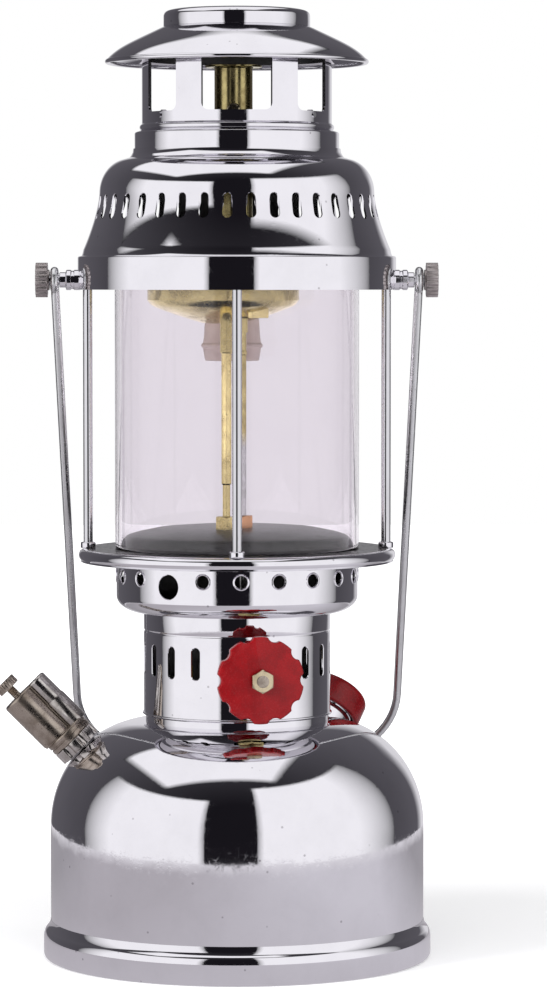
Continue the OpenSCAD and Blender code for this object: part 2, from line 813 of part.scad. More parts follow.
module window_cut(az, w) {
    rotate([0, 0, az - 90]) translate([chimney_r * 0.6, 0, window_z]) {
        translate([0, -w / 2, window_round]) cube([chimney_r * 0.6, w, window_h - window_round]);
        translate([0, -w / 2 + window_round, 0])
            cube([chimney_r * 0.6, w - 2 * window_round, window_round + eps]);
        for (side = [-1, 1]) translate([0, side * (w / 2 - window_round), window_round]) rotate([0, 90, 0])
            cylinder(h = chimney_r * 0.6, r = window_round, $fn = 24);
    }
}

module hood_chimney() {
    front_w = 2 * chimney_r * sin(front_window_deg / 2);
    side_w = 2 * chimney_r * sin(side_window_deg / 2);
    color(chrome) difference() {
        rotate_extrude() polygon([[socket_r - hood_wall, socket_z - 2], [socket_r, socket_z - 2],
            [socket_r, socket_end_z], [chimney_r + bead_r, socket_end_z + 1],
            [chimney_r + bead_r, socket_end_z + 1 + bead_h], [chimney_r, socket_end_z + 1.6 + bead_h],
            [chimney_r, chimney_top_z], [chimney_r - hood_wall, chimney_top_z],
            [chimney_r - hood_wall, socket_end_z - 0.4], [socket_r - hood_wall, socket_end_z - 1.4]]);
        for (back = [0, 180]) {
            window_cut(back, front_w);
            for (side = [-1, 1]) window_cut(back + side * side_window_az, side_w);
        }
        screw_places() cylinder(h = 2 * screw_head_h, d = hood_screw_d, $fn = 24);
    }
}

module hood_brim() {
    edge_z = brim_height(brim_r);
    steps = 12;
    top = [for (i = [0:steps]) let (r = brim_in_r + 1 + (brim_r - brim_in_r - 1) * sin(90 * i / steps))
        [r, brim_height(r)]];
    color(chrome) rotate_extrude() {
        polygon(concat(top, backwards(shift_in(top, -0.4, -hood_wall))));
        translate([brim_r - 0.6, edge_z - 0.4]) circle(r = brim_edge_r, $fn = 24);
    }
}

module hood_cap() {
    color(chrome) rotate_extrude() polygon(concat(
        [[cap_r - hood_wall, cap_z], [cap_r, cap_z]],
        arc(cap_r - cap_round, cap_top_z - cap_crown - cap_round, cap_round, cap_round, 0, 80, 6),
        [[0, cap_top_z], [0, cap_top_z - hood_wall],
         [cap_r - cap_round, cap_top_z - cap_crown - 2 * hood_wall],
         [cap_r - hood_wall, cap_top_z - cap_crown - cap_round - cap_step]]));
}

// Four screws below the side windows: local Z runs outwards from inside the chimney
module screw_places() {
    for (back = [0, 180]) for (side = [-1, 1]) rotate([0, 0, back + side * side_window_az - 90])
        translate([screw_seat_r - screw_head_h, 0, window_z - screw_drop]) rotate([0, 90, 0]) children();
}

module hood_screws() {
    color(chrome) screw_places() {
        cylinder(h = screw_head_h, d = screw_head_d, $fn = 6);
        cylinder(h = screw_head_h + chimney_r - screw_seat_r + screw_tip, d = hood_screw_d, $fn = 24);
    }
}

// ---- Burner ----
module inner_casing() {
    casing_crown_z = casing_z + casing_rise;
    outer = [[casing_out_r, casing_z], [casing_out_r - 12, casing_z + 1], [casing_top_r, casing_crown_z]];
    color("#8b8d90") difference() {
        rotate_extrude() polygon(concat(outer, [[2, casing_crown_z], [2, casing_crown_z - casing_t]],
            backwards(shift_in(outer, -0.2, -casing_t))));
        translate([mix_x, 0, casing_z]) cylinder(h = 30, r = mix_r);
    }
}

// The pan's outline from its tip to its rim, moved up by t
function pan_edge(t) = [[0, pan_tip_z + t], [9, pan_tip_z + 1 + t], [pan_r - 2.5 - t / 2, pan_rim_z - 4 + t],
    [pan_r - t, pan_rim_z - 1.5 + t]];

module mixing_tube() {
    color(brass) difference() {
        translate([mix_x, 0, 0]) union() {
            translate([0, 0, pan_tip_z]) cylinder(h = mix_top_z - pan_tip_z, r = mix_r);
            translate([0, 0, mix_top_z - 1]) cylinder(h = 1, r = mix_flange_r);
        }
        translate([mix_x, 0, pan_tip_z - 1]) cylinder(h = mix_top_z - pan_tip_z + 2, r = mix_r - mix_wall);
        translate([mix_x, 0, mix_screw_z]) rotate([90, 0, 0]) cylinder(h = 2 * mix_r, d = 3, $fn = 24);
        translate([pan_x, 0, 0]) rotate_extrude()
            polygon(concat(pan_edge(pan_t), [[pan_r, pan_tip_z], [0, pan_tip_z]]));
    }
}

module mixing_tube_screw() {
    color(brass) translate([mix_x, -mix_r, mix_screw_z]) rotate([90, 0, 0]) {
        translate([0, 0, -mix_wall]) cylinder(h = mix_wall + 1, d = 3, $fn = 24);
        cylinder(h = 2, d = 6, $fn = 32);
    }
}

module burner_pan() {
    color(brass) difference() {
        translate([pan_x, 0, 0]) rotate_extrude() polygon(concat(pan_edge(0),
            [[pan_r, pan_top_z], [pan_r - pan_t, pan_top_z]], backwards(pan_edge(pan_t))));
        translate([nozzle_x, nozzle_y, pan_tip_z - 2]) cylinder(h = 12, r = nozzle_bore_r - 2);
        translate([pre_x, pre_y, pan_tip_z]) cylinder(h = 20, d = sleeve_d);
        vap_axis() translate([0, 0, pan_tip_z - 2]) cylinder(h = 20, r = jet_r);
        elbow_block(2 * elbow_h);
    }
}

module elbow_block(h) {
    translate([elbow_x, elbow_y - elbow_w / 2, elbow_z]) cube([elbow_w, elbow_w, h]);
}

module mixer_elbow() {
    color(brass) elbow_block(elbow_h);
}

module clay_nozzle() {
    color("#e6d2c8") translate([nozzle_x, nozzle_y, nozzle_z]) difference() {
        union() {
            cylinder(h = nozzle_belt_z, r1 = nozzle_r - nozzle_foot_in, r2 = nozzle_r - nozzle_belt_in);
            translate([0, 0, nozzle_belt_z]) cylinder(h = nozzle_belt_h, r = nozzle_r);
            translate([0, 0, nozzle_neck_z]) cylinder(h = nozzle_h - nozzle_neck_z,
                r1 = nozzle_r - nozzle_belt_in, r2 = nozzle_r - nozzle_foot_in);
        }
        translate([0, 0, -1]) cylinder(h = nozzle_bore_h + 1, r = nozzle_bore_r);
        translate([0, 0, nozzle_bore_h - 1]) cylinder(h = nozzle_h, r = nozzle_bore_r - 2);
        translate([pan_x - nozzle_x, -nozzle_y, -nozzle_z]) rotate_extrude()
            polygon(concat(pan_edge(0), [[pan_r, pan_rim_z + 20], [0, pan_rim_z + 20]]));
    }
}

module vaporiser_tube() {
    color(brass) vap_axis() translate([0, 0, block_top_z]) tube(jet_z - block_top_z, vap_d / 2, tube_wall);
}

module jet() {
    color(brass) vap_axis() translate([0, 0, jet_z]) difference() {
        cylinder(h = jet_h, r = jet_r);
        translate([0, 0, -1]) cylinder(h = jet_h + 2, r = needle_tip_d / 2 + 0.1, $fn = 24);
    }
}

module vaporiser_nut() {
    color("#b06a3a") vap_axis() translate([0, 0, shield_z]) difference() {
        hex(flow_nut_af, flow_nut_h);
        translate([0, 0, -1]) cylinder(h = flow_nut_h + 2, d = vap_d);
    }
}

module preheater_tube() {
    color(brass) translate([pre_x, pre_y, 0]) {
        translate([0, 0, shield_z - 4]) cylinder(h = pan_rim_z - shield_z + 4, d = pre_d);
        translate([0, 0, sleeve_z]) cylinder(h = pan_rim_z - sleeve_z - 2, d = sleeve_d);
    }
}

module preheater_nut() {
    color(brass) translate([pre_x, pre_y, shield_z]) difference() {
        hex(flow_nut_af, flow_nut_h);
        translate([0, 0, -1]) cylinder(h = flow_nut_h + 2, d = pre_d);
    }
}

module pickup_tube() {
    color(brass) vap_axis() translate([0, 0, bottom_z + bottom_rim_h])
        tube(tank_h - bottom_z - bottom_rim_h, pickup_r, tube_wall);
}

// ---- Valve ----
module valve_block() {
    color(brass) difference() {
        vap_axis() translate([0, 0, tank_h]) cylinder(h = block_top_z - tank_h, r = block_r);
        spindle_axis() translate([0, 0, vap_s - chamber_r])
            cylinder(h = block_r + 2 * chamber_r, r = chamber_r);
        vap_axis() translate([0, 0, tank_h - 1]) cylinder(h = valve_z - tank_h, r = pickup_r - tube_wall);
        vap_axis() translate([0, 0, valve_z]) cylinder(h = block_top_z, r = needle_foot_d / 2 + run_gap);
    }
}

module stuffing_box() {
    color(brass) spindle_axis() difference() {
        union() {
            translate([0, 0, plug_s]) cylinder(h = box_s - plug_s, r = chamber_r);
            translate([0, 0, box_s]) cylinder(h = box_end_s - box_s, r = box_r);
        }
        translate([0, 0, plug_s - 1]) cylinder(h = box_end_s, r = spindle_d / 2 + shaft_fit);
    }
}

module gland_nut() {
    color(brass) spindle_axis() translate([0, 0, box_end_s]) difference() {
        hex(gland_af, gland_end_s - box_end_s);
        translate([0, 0, -1]) cylinder(h = gland_end_s, r = spindle_d / 2 + shaft_fit);
    }
}

module valve_spindle() {
    spindle_s = vap_s + cam_t / 2;
    color(brass) spindle_axis() translate([0, 0, spindle_s])
        cylinder(h = wheel_s + wheel_nut_h + 0.5 - spindle_s, d = spindle_d);
}

module eccentric() {
    color(brass) spindle_axis() translate([0, -cam_e, vap_s - cam_t / 2]) cylinder(h = cam_t, r = cam_r);
}

module valve_wheel() {
    color(red) spindle_axis() difference() {
        union() {
            translate([0, 0, wheel_s - wheel_t]) cylinder(h = wheel_t, d = wheel_d);
            translate([0, 0, wheel_s - wheel_t - hub_len]) cylinder(h = hub_len, r = spindle_d / 2 + 3);
        }
        translate([0, 0, wheel_s - wheel_t - hub_len - 1]) cylinder(h = wheel_t + hub_len + 2, d = spindle_d);
        for (i = [0:wheel_lobes - 1]) rotate([0, 0, i * 360 / wheel_lobes])
            translate([wheel_d / 2 + scallop_r / 2, 0, wheel_s - wheel_t - 1])
                cylinder(h = wheel_t + 2, r = scallop_r, $fn = 24);
    }
}

module wheel_nut() {
    color(chrome) spindle_axis() translate([0, 0, wheel_s]) difference() {
        hex(wheel_nut_af, wheel_nut_h);
        translate([0, 0, -1]) cylinder(h = wheel_nut_h + 2, d = spindle_d);
    }
}

module needle_rod() {
    foot_lift = cam_r - cam_e + needle_gap;
    foot_top_z = valve_z + foot_lift + needle_foot_h;
    tip_z = jet_z - needle_travel - 1;
    color(chrome) vap_axis() {
        translate([0, 0, valve_z + foot_lift]) cylinder(h = needle_foot_h, d = needle_foot_d, $fn = 32);
        translate([0, 0, foot_top_z]) cylinder(h = tip_z - foot_top_z, d = needle_d, $fn = 24);
        translate([0, 0, tip_z]) cylinder(h = jet_z + jet_h - needle_travel - tip_z, d = needle_tip_d, $fn = 24);
    }
}

tank_shell();
tank_bottom();
base_skirt();
filler_spout();
pump_collar();
pump_tube();
pump_check_valve();
pump_guide_cap();
pump_rod();
pump_cup();
pump_knob();
neck_ring();
lower_drum();
upper_drum();
gallery_plate();
heat_shield();
rod_front();
rod_left();
rod_back();
rod_right();
rod_feet();
top_ring();
ear_boss_left();
ear_boss_right();
ear_bolt_left();
ear_bolt_right();
thumb_nut_left();
thumb_nut_right();
bail();
glass();
hood_dome();
hood_chimney();
hood_brim();
hood_cap();
hood_screws();
inner_casing();
mixing_tube();
mixing_tube_screw();
burner_pan();
mixer_elbow();
clay_nozzle();
vaporiser_tube();
jet();
vaporiser_nut();
preheater_tube();
preheater_nut();
pickup_tube();
valve_block();
stuffing_box();
gland_nut();
valve_spindle();
eccentric();
valve_wheel();
wheel_nut();
needle_rod();
filler_ring();
filler_barrel();
gauge_tube();
filler_seal();
bleed_screw();
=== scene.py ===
import bpy
from math import atan, cos, pi, radians, sin, sqrt
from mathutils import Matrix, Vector


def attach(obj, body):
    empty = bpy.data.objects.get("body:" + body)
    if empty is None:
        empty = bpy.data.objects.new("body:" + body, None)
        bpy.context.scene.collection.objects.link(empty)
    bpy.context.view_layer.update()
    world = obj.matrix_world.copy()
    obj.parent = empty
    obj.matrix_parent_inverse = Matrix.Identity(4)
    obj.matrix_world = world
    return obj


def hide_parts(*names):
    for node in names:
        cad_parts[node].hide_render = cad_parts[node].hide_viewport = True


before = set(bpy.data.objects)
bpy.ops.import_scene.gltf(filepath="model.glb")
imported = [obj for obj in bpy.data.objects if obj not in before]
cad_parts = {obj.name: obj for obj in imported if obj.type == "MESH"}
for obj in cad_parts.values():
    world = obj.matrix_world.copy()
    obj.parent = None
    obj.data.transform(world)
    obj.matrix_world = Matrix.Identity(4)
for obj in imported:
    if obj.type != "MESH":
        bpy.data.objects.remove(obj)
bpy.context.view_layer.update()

# ---- Tank -------------------------------------------------------------------------------
# The fuel tank is one deep-drawn sheet of brass, polished and chromed, with a soft shoulder.
# It is spun from its outline. The plating shows faint hand-polishing waves, rub marks, and
# spatter marks that the washing left around the middle of the wall.
mm = 0.001
FULL = 2 * pi


def clear_selection():
    for obj in bpy.context.selected_objects:
        obj.select_set(False)


def focus(obj):
    clear_selection()
    obj.select_set(True)
    bpy.context.view_layer.objects.active = obj
    return obj


def start_point(name, at):
    """A new mesh that holds one point, from which an outline is drawn."""
    clear_selection()
    bpy.ops.mesh.primitive_plane_add(size=mm, location=at)
    obj = bpy.context.object
    obj.name = obj.data.name = name
    bpy.ops.object.transform_apply()
    bpy.ops.object.mode_set(mode="EDIT")
    bpy.ops.mesh.select_mode(type="VERT")
    bpy.ops.mesh.select_all(action="SELECT")
    bpy.ops.mesh.merge(type="CENTER")
    return obj


def draw_outline(points):
    for a, b in zip(points, points[1:]):
        bpy.ops.mesh.extrude_region_move(TRANSFORM_OT_translate={"value": Vector(b) - Vector(a)})


def bow(r, z, a, b, from_deg, to_deg, steps=8):
    """Points of a round stretch of an outline: centre (r, z), half axes a and b."""
    angles = [radians(from_deg + (to_deg - from_deg) * i / steps) for i in range(steps + 1)]
    return [(r + a * cos(t), z + b * sin(t)) for t in angles]


def spin_up(name, outline, steps=192):
    """Spins an outline of (radius, height) points in mm about the vertical axis."""
    points = [(r * mm, 0, z * mm) for r, z in outline]
    obj = start_point(name, points[0])
    draw_outline(points)
    bpy.ops.mesh.select_all(action="SELECT")
    bpy.ops.mesh.spin(steps=steps, angle=FULL, axis=(0, 0, 1), center=(0, 0, 0))
    bpy.ops.mesh.select_all(action="SELECT")
    bpy.ops.mesh.remove_doubles(threshold=0.002 * mm)
    bpy.ops.mesh.normals_make_consistent(inside=False)
    bpy.ops.object.mode_set(mode="OBJECT")
    return obj


def place(obj, spot=(0, 0, 0), turn=(0, 0, 0)):
    """Turns a piece made upright at the origin (degrees), sets it in its place (mm), applies both."""
    focus(obj)
    obj.rotation_euler = [radians(t) for t in turn]
    obj.location = [s * mm for s in spot]
    bpy.ops.object.transform_apply(location=True, rotation=True, scale=True)
    return obj


def copy_of(obj, name):
    twin = obj.copy()
    twin.data = obj.data.copy()
    twin.name = twin.data.name = name
    bpy.context.scene.collection.objects.link(twin)
    return twin


def join_all(name, pieces):
    clear_selection()
    for piece in pieces:
        piece.select_set(True)
    bpy.context.view_layer.objects.active = pieces[0]
    if len(pieces) > 1:
        bpy.ops.object.join()
    pieces[0].name = pieces[0].data.name = name
    return pieces[0]


def cut_away(obj, cutter, operation="DIFFERENCE"):
    focus(obj)
    cut = obj.modifiers.new("cut", "BOOLEAN")
    cut.operation, cut.solver, cut.object = operation, "EXACT", cutter
    bpy.ops.object.modifier_apply(modifier="cut")
    bpy.data.objects.remove(cutter)
    return obj


def soften(obj, angle=32):
    focus(obj)
    bpy.ops.object.shade_smooth_by_angle(angle=radians(angle))
    return obj


def ease_edges(obj, width, segments=2, angle=40):
    focus(obj)
    ease = obj.modifiers.new("ease", "BEVEL")
    ease.width, ease.segments, ease.limit_method = width * mm, segments, "ANGLE"
    ease.angle_limit = radians(angle)
    bpy.ops.object.modifier_apply(modifier="ease")
    return obj


def thicken(obj, wall):
    """Gives an outer skin its wall, inwards."""
    focus(obj)
    solidify = obj.modifiers.new("wall", "SOLIDIFY")
    solidify.thickness = wall * mm
    solidify.offset = -1
    bpy.ops.object.modifier_apply(modifier="wall")
    return obj


def line_inside(obj, material):
    """Gives the side of a sheet that faces the axis its own finish."""
    obj.data.materials.append(material)
    for face in obj.data.polygons:
        facing = face.center.x * face.normal.x + face.center.y * face.normal.y
        if facing < -0.3 * face.center.xy.length:
            face.material_index = 1


def fasten(obj, material, body, slot, *nodes):
    """Dresses a finished piece, lets it ride on its body and stand for its solids."""
    obj.data.materials.clear()
    obj.data.materials.append(material)
    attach(obj, body)
    if nodes:
        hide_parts(*nodes)
    return obj


def dress(material, *nodes):
    """Gives solids that stay as they are their finish."""
    for node in nodes:
        for place_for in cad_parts[node].material_slots:
            place_for.material = material


def node_group(name, inputs, outputs):
    group = bpy.data.node_groups.new(name, "ShaderNodeTree")
    for label, kind, value in inputs:
        socket = group.interface.new_socket(label, in_out="INPUT", socket_type=kind)
        socket.default_value = value
    for label, kind in outputs:
        group.interface.new_socket(label, in_out="OUTPUT", socket_type=kind)
    return group, group.nodes.new("NodeGroupInput"), group.nodes.new("NodeGroupOutput")


def wire(tree, source, target):
    tree.links.new(source, target)


def noise(tree, coords, scale, detail=3, rough=0.5):
    node = tree.nodes.new("ShaderNodeTexNoise")
    node.inputs["Detail"].default_value = detail
    node.inputs["Roughness"].default_value = rough
    if isinstance(scale, (int, float)):
        node.inputs["Scale"].default_value = scale
    else:
        wire(tree, scale, node.inputs["Scale"])
    wire(tree, coords, node.inputs["Vector"])
    return node.outputs["Fac"]


def spread(tree, value, low, high, to_low=0, to_high=1):
    node = tree.nodes.new("ShaderNodeMapRange")
    for label, number in (("From Min", low), ("From Max", high), ("To Min", to_low), ("To Max", to_high)):
        node.inputs[label].default_value = number
    wire(tree, value, node.inputs["Value"])
    return node.outputs["Result"]


def combine(tree, how, a, b):
    node = tree.nodes.new("ShaderNodeMath")
    node.operation = how
    for socket, value in zip(node.inputs, (a, b)):
        if isinstance(value, (int, float)):
            socket.default_value = value
        else:
            wire(tree, value, socket)
    return node.outputs["Value"]


def blend_colours(tree, mask, low, high):
    node = tree.nodes.new("ShaderNodeMix")
    node.data_type = "RGBA"
    wire(tree, mask, node.inputs["Factor"])
    for label, colour in (("A", low), ("B", high)):
        socket = [s for s in node.inputs if s.name == label and s.type == "RGBA"][0]
        if isinstance(colour, tuple):
            socket.default_value = colour
        else:
            wire(tree, colour, socket)
    return [s for s in node.outputs if s.type == "RGBA"][0]


def stretch(tree, coords, scale=(1, 1, 1), turn=(0, 0, 0), shift=(0, 0, 0)):
    node = tree.nodes.new("ShaderNodeMapping")
    node.inputs["Scale"].default_value = scale
    node.inputs["Rotation"].default_value = [radians(t) for t in turn]
    node.inputs["Location"].default_value = [s * mm for s in shift]
    wire(tree, coords, node.inputs["Vector"])
    return node.outputs["Vector"]


def bump(tree, height, strength, distance, under=None):
    node = tree.nodes.new("ShaderNodeBump")
    node.inputs["Strength"].default_value = strength
    node.inputs["Distance"].default_value = distance
    wire(tree, height, node.inputs["Height"])
    if under is not None:
        wire(tree, under, node.inputs["Normal"])
    return node.outputs["Normal"]


# Wear of a polished surface: rub marks, a film of grime, and slow waves of the sheet.
wear, wear_in, wear_out = node_group(
    "hand_wear",
    [("Vector", "NodeSocketVector", (0, 0, 0)), ("Scale", "NodeSocketFloat", 1.0)],
    [("Rubs", "NodeSocketFloat"), ("Film", "NodeSocketFloat"), ("Waves", "NodeSocketFloat")])
fine_scale = combine(wear, "MULTIPLY", wear_in.outputs["Scale"], 420)
film_scale = combine(wear, "MULTIPLY", wear_in.outputs["Scale"], 55)
wave_scale = combine(wear, "MULTIPLY", wear_in.outputs["Scale"], 26)
wire(wear, spread(wear, noise(wear, wear_in.outputs["Vector"], fine_scale, 5, 0.65), 0.52, 0.78),
     wear_out.inputs["Rubs"])
wire(wear, spread(wear, noise(wear, wear_in.outputs["Vector"], film_scale, 4, 0.6), 0.42, 0.75),
     wear_out.inputs["Film"])
wire(wear, noise(wear, wear_in.outputs["Vector"], wave_scale, 1, 0.4), wear_out.inputs["Waves"])

# Specks: small round pits or grains, a few of which show at each place.
specks, specks_in, specks_out = node_group(
    "specks",
    [("Vector", "NodeSocketVector", (0, 0, 0)), ("Scale", "NodeSocketFloat", 300.0),
     ("Share", "NodeSocketFloat", 0.2)],
    [("Mask", "NodeSocketFloat")])
cells = specks.nodes.new("ShaderNodeTexVoronoi")
wire(specks, specks_in.outputs["Vector"], cells.inputs["Vector"])
wire(specks, specks_in.outputs["Scale"], cells.inputs["Scale"])
core = spread(specks, cells.outputs["Distance"], 0.22, 0.10)
tint = specks.nodes.new("ShaderNodeSeparateColor")
wire(specks, cells.outputs["Color"], tint.inputs["Color"])
chosen = combine(specks, "LESS_THAN", tint.outputs["Red"], specks_in.outputs["Share"])
wire(specks, combine(specks, "MULTIPLY", core, chosen), specks_out.inputs["Mask"])


def place_group(tree, group, coords, **values):
    node = tree.nodes.new("ShaderNodeGroup")
    node.node_tree = group
    wire(tree, coords, node.inputs["Vector"])
    for label, value in values.items():
        node.inputs[label].default_value = value
    return node.outputs


def new_material(name):
    material = bpy.data.materials.new(name)
    material.use_nodes = True
    tree = material.node_tree
    coords = tree.nodes.new("ShaderNodeTexCoord").outputs["Object"]
    return material, tree, tree.nodes["Principled BSDF"], coords


def metal(name, tone, dull, film_share, rough, rough_worn, waves=0.25, scale=1.0, spots=0.06,
          along=(1, 1, 1)):
    """A metal finish: its clean tone, its dull tone under the film, its polish, pits and waves."""
    material, tree, shader, coords = new_material(name)
    coords = stretch(tree, coords, along)
    marks = place_group(tree, wear, coords, Scale=scale)
    pits = place_group(tree, specks, coords, Scale=330.0 * scale, Share=spots)["Mask"]
    shader.inputs["Metallic"].default_value = 1
    film = combine(tree, "MULTIPLY", marks["Film"], film_share)
    film = combine(tree, "MAXIMUM", film, combine(tree, "MULTIPLY", pits, 0.8))
    wire(tree, blend_colours(tree, film, tone, dull), shader.inputs["Base Color"])
    wear_and_painted_rim = combine(tree, "MAXIMUM", marks["Rubs"], film)
    wire(tree, spread(tree, wear_and_painted_rim, 0, 1, rough, rough_worn), shader.inputs["Roughness"])
    normal = bump(tree, marks["Waves"], waves, 0.0006)
    wire(tree, bump(tree, marks["Rubs"], 0.03, 0.0001, normal), shader.inputs["Normal"])
    return material


chrome = metal("polished_chrome", (0.85, 0.84, 0.87, 1), (0.45, 0.44, 0.46, 1), 0.12, 0.03, 0.10, waves=0.10,
               spots=0.04)

wall_r, crown_r, tank_top, shoulder_z = 79, 38, 100, 56
skirt_h = 16
shoulder_a, shoulder_b = wall_r - crown_r, tank_top - shoulder_z
tank_outline = [(wall_r, 1.6), (wall_r, skirt_h), (wall_r, 36)]
tank_outline += bow(crown_r, shoulder_z, shoulder_a, shoulder_b, 0, 90, 36)
tank_outline += [(20, tank_top), (6, tank_top), (0, tank_top)]
tank = thicken(spin_up("tank_body", tank_outline, 256), 1)

filler_spot, filler_turn = (-65.95, 0, 88.19), (0, -45, 0)
pump_turn, pump_entry = (0, 40, 52), (58, 94.39)
pump_spot = (pump_entry[0] * cos(radians(52)), pump_entry[0] * sin(radians(52)), pump_entry[1])
for spot, turn, hole_r in ((filler_spot, filler_turn, 7), (pump_spot, pump_turn, 10)):
    clear_selection()
    bpy.ops.mesh.primitive_cylinder_add(vertices=64, radius=hole_r * mm, depth=26 * mm)
    cut_away(tank, place(bpy.context.object, spot, turn))
fasten(soften(tank), chrome, "lantern", "chrome_sheet", "tank_shell")
dress(chrome, "tank_bottom")

# ---- Foot ring --------------------------------------------------------------------------
# The foot ring is a rolled band of the same chromed sheet, pressed over the tank's foot.
# It flares out of the wall into a round shoulder, and its lower lip turns in under the tank.
skirt_r = 82
skirt_outline = [(76, 1.5), (76, 0.3), (76.3, 0)] + bow(skirt_r - 2, 2, 2, 2, -90, 0)
skirt_outline += [(skirt_r, 5)] + bow(skirt_r - 2.6, skirt_h - 7.6, 2.6, 4.4, 0, 62, 12)
skirt_outline += [(80.25, 12.75), (79.85, 13.4), (79.45, 14.3), (79.2, 15.2), (79.05, 16)]
skirt_outline += [(wall_r + 0.05, 1.5), (76, 1.5)]
foot_ring = soften(spin_up("foot_ring", skirt_outline, 256))
fasten(foot_ring, chrome, "lantern", "chrome_sheet", "base_skirt")

# ---- Filler cap -------------------------------------------------------------------------
# The filler cap is turned brass, nickel-plated once and now brown: a gripped ring, a collar,
# a barrel with the bleed screw, and beside it the tube of the pressure gauge, which still
# shines on its upper half. The cap stands on a short spout in the tank's shoulder.
nickel_old = metal("aged_nickel", (0.46, 0.40, 0.34, 1), (0.13, 0.09, 0.06, 1), 0.8, 0.20, 0.48,
                   waves=0.35, scale=2.2, spots=0.22)
nickel_bright = metal("worn_nickel", (0.62, 0.59, 0.56, 1), (0.20, 0.17, 0.14, 1), 0.7, 0.12, 0.4,
                      waves=0.3, scale=2.6, spots=0.2)


def notched_prism(name, r, notches, notch_r, notch_at, height, points=240, phase=0.0, skin=None):
    """A flat round body whose rim has round notches, drawn in plan and pulled up."""
    outline = []
    for i in range(points):
        angle = FULL * i / points
        off = (angle - phase + pi / notches) % (FULL / notches) - pi / notches
        reach = r
        if abs(notch_at * sin(off)) < notch_r:
            reach = min(r, notch_at * cos(off) - sqrt(notch_r ** 2 - (notch_at * sin(off)) ** 2))
        outline.append((reach * cos(angle) * mm, reach * sin(angle) * mm, 0))
    obj = start_point(name, outline[0])
    draw_outline(outline + outline[:1])
    bpy.ops.mesh.select_all(action="SELECT")
    bpy.ops.mesh.remove_doubles(threshold=0.002 * mm)
    bpy.ops.mesh.edge_face_add()
    bpy.ops.mesh.extrude_region_move(TRANSFORM_OT_translate={"value": (0, 0, height * mm)})
    bpy.ops.mesh.select_all(action="SELECT")
    bpy.ops.mesh.normals_make_consistent(inside=False)
    bpy.ops.object.mode_set(mode="OBJECT")
    return obj


def bore(obj, r, low, high):
    clear_selection()
    bpy.ops.mesh.primitive_cylinder_add(vertices=48, radius=r * mm, depth=(high - low) * mm,
                                        location=(0, 0, (low + high) / 2 * mm))
    return cut_away(obj, place(bpy.context.object))


ring = notched_prism("filler_ring_grip", 10, 8, 2.4, 11.2, 5.3, phase=pi / 8)
ring = bore(ease_edges(ring, 0.5, 3), 7.06, -1, 7)
fasten(soften(place(ring, filler_spot, filler_turn)), nickel_bright, "filler_cap", "aged_nickel",
       "filler_ring")

collar = spin_up("filler_collar", [(0, 5.4)] + bow(9.4, 6.0, 0.6, 0.6, -90, 0, 4)
                 + [(9.9, 7.4), (9.5, 7.6), (9.5, 8.0), (10, 8.2)] + bow(9.2, 9.3, 0.8, 0.8, 0, 90, 5)
                 + [(0, 10.1)], 96)
barrel = spin_up("filler_body", [(0, 9.9), (7.3, 9.9), (7.3, 10.5), (7.6, 10.7), (7.6, 33.2)]
                 + bow(6.4, 33.4, 1.2, 1.2, 0, 90, 5) + [(2.6, 34.6), (2.2, 34.3), (1.95, 34.3),
                                                         (1.95, 28.6), (0, 28.6)], 96)
place(barrel, (-3.6, 0, 0))
body = join_all("filler_body", [barrel, collar])
fasten(soften(place(body, filler_spot, filler_turn)), nickel_old, "filler_cap", "aged_nickel",
       "filler_barrel")

gauge = spin_up("gauge_housing", [(0, 9.2), (4.8, 9.2), (5, 9.5), (5, 22.4), (4.85, 22.7), (4.85, 23.1),
                                  (4.7, 23.2), (4.7, 33.4)] + bow(3.7, 33.6, 1, 1, 0, 90, 5)
                + [(3.4, 34.6), (3.2, 34.1), (0, 34.1)], 96)
place(gauge, (6.4, 0, 0))
fasten(soften(place(gauge, filler_spot, filler_turn)), nickel_bright, "filler_cap", "aged_nickel",
       "gauge_tube")

screw = notched_prism("bleed_screw_head", 4.9, 18, 0.45, 5.15, 3.8, points=216)
ease_edges(screw, 0.3, 2)
clear_selection()
bpy.ops.mesh.primitive_cube_add(size=1, location=(0, 0, 3.8 * mm))
slot_cutter = bpy.context.object
slot_cutter.scale = (12 * mm, 1.2 * mm, 2.4 * mm)
cut_away(screw, place(slot_cutter, (0, 0, 3.8)))
place(screw, (0, 0, 4.6))
shank = spin_up("bleed_shank", [(0, -5.7), (1.5, -5.7), (1.85, -5.3)]
                + [(1.85 - 0.22 * (i % 2), -5 + 0.4 * i) for i in range(24)] + [(1.85, 4.7), (0, 4.7)], 48)
screw = place(join_all("bleed_screw_head", [screw, shank]), (-3.6, 0, 34.6))
fasten(soften(place(screw, filler_spot, filler_turn)), nickel_old, "bleed_screw", "aged_nickel",
       "bleed_screw")

# The rubber seal and the spout under the cap stay as they were built.
rubber, tree, shader, coords = new_material("seal_rubber")
grain = place_group(tree, wear, coords, Scale=6.0)
wire(tree, blend_colours(tree, grain["Film"], (0.012, 0.012, 0.013, 1), (0.05, 0.048, 0.045, 1)),
     shader.inputs["Base Color"])
wire(tree, spread(tree, grain["Rubs"], 0, 1, 0.55, 0.8), shader.inputs["Roughness"])
wire(tree, bump(tree, grain["Rubs"], 0.3, 0.0002), shader.inputs["Normal"])
dress(rubber, "filler_seal")
steel_dull = metal("inner_steel", (0.45, 0.45, 0.46, 1), (0.22, 0.20, 0.18, 1), 0.7, 0.25, 0.5, waves=0.3,
                   scale=1.6, spots=0.15)
dress(steel_dull, "filler_spout")

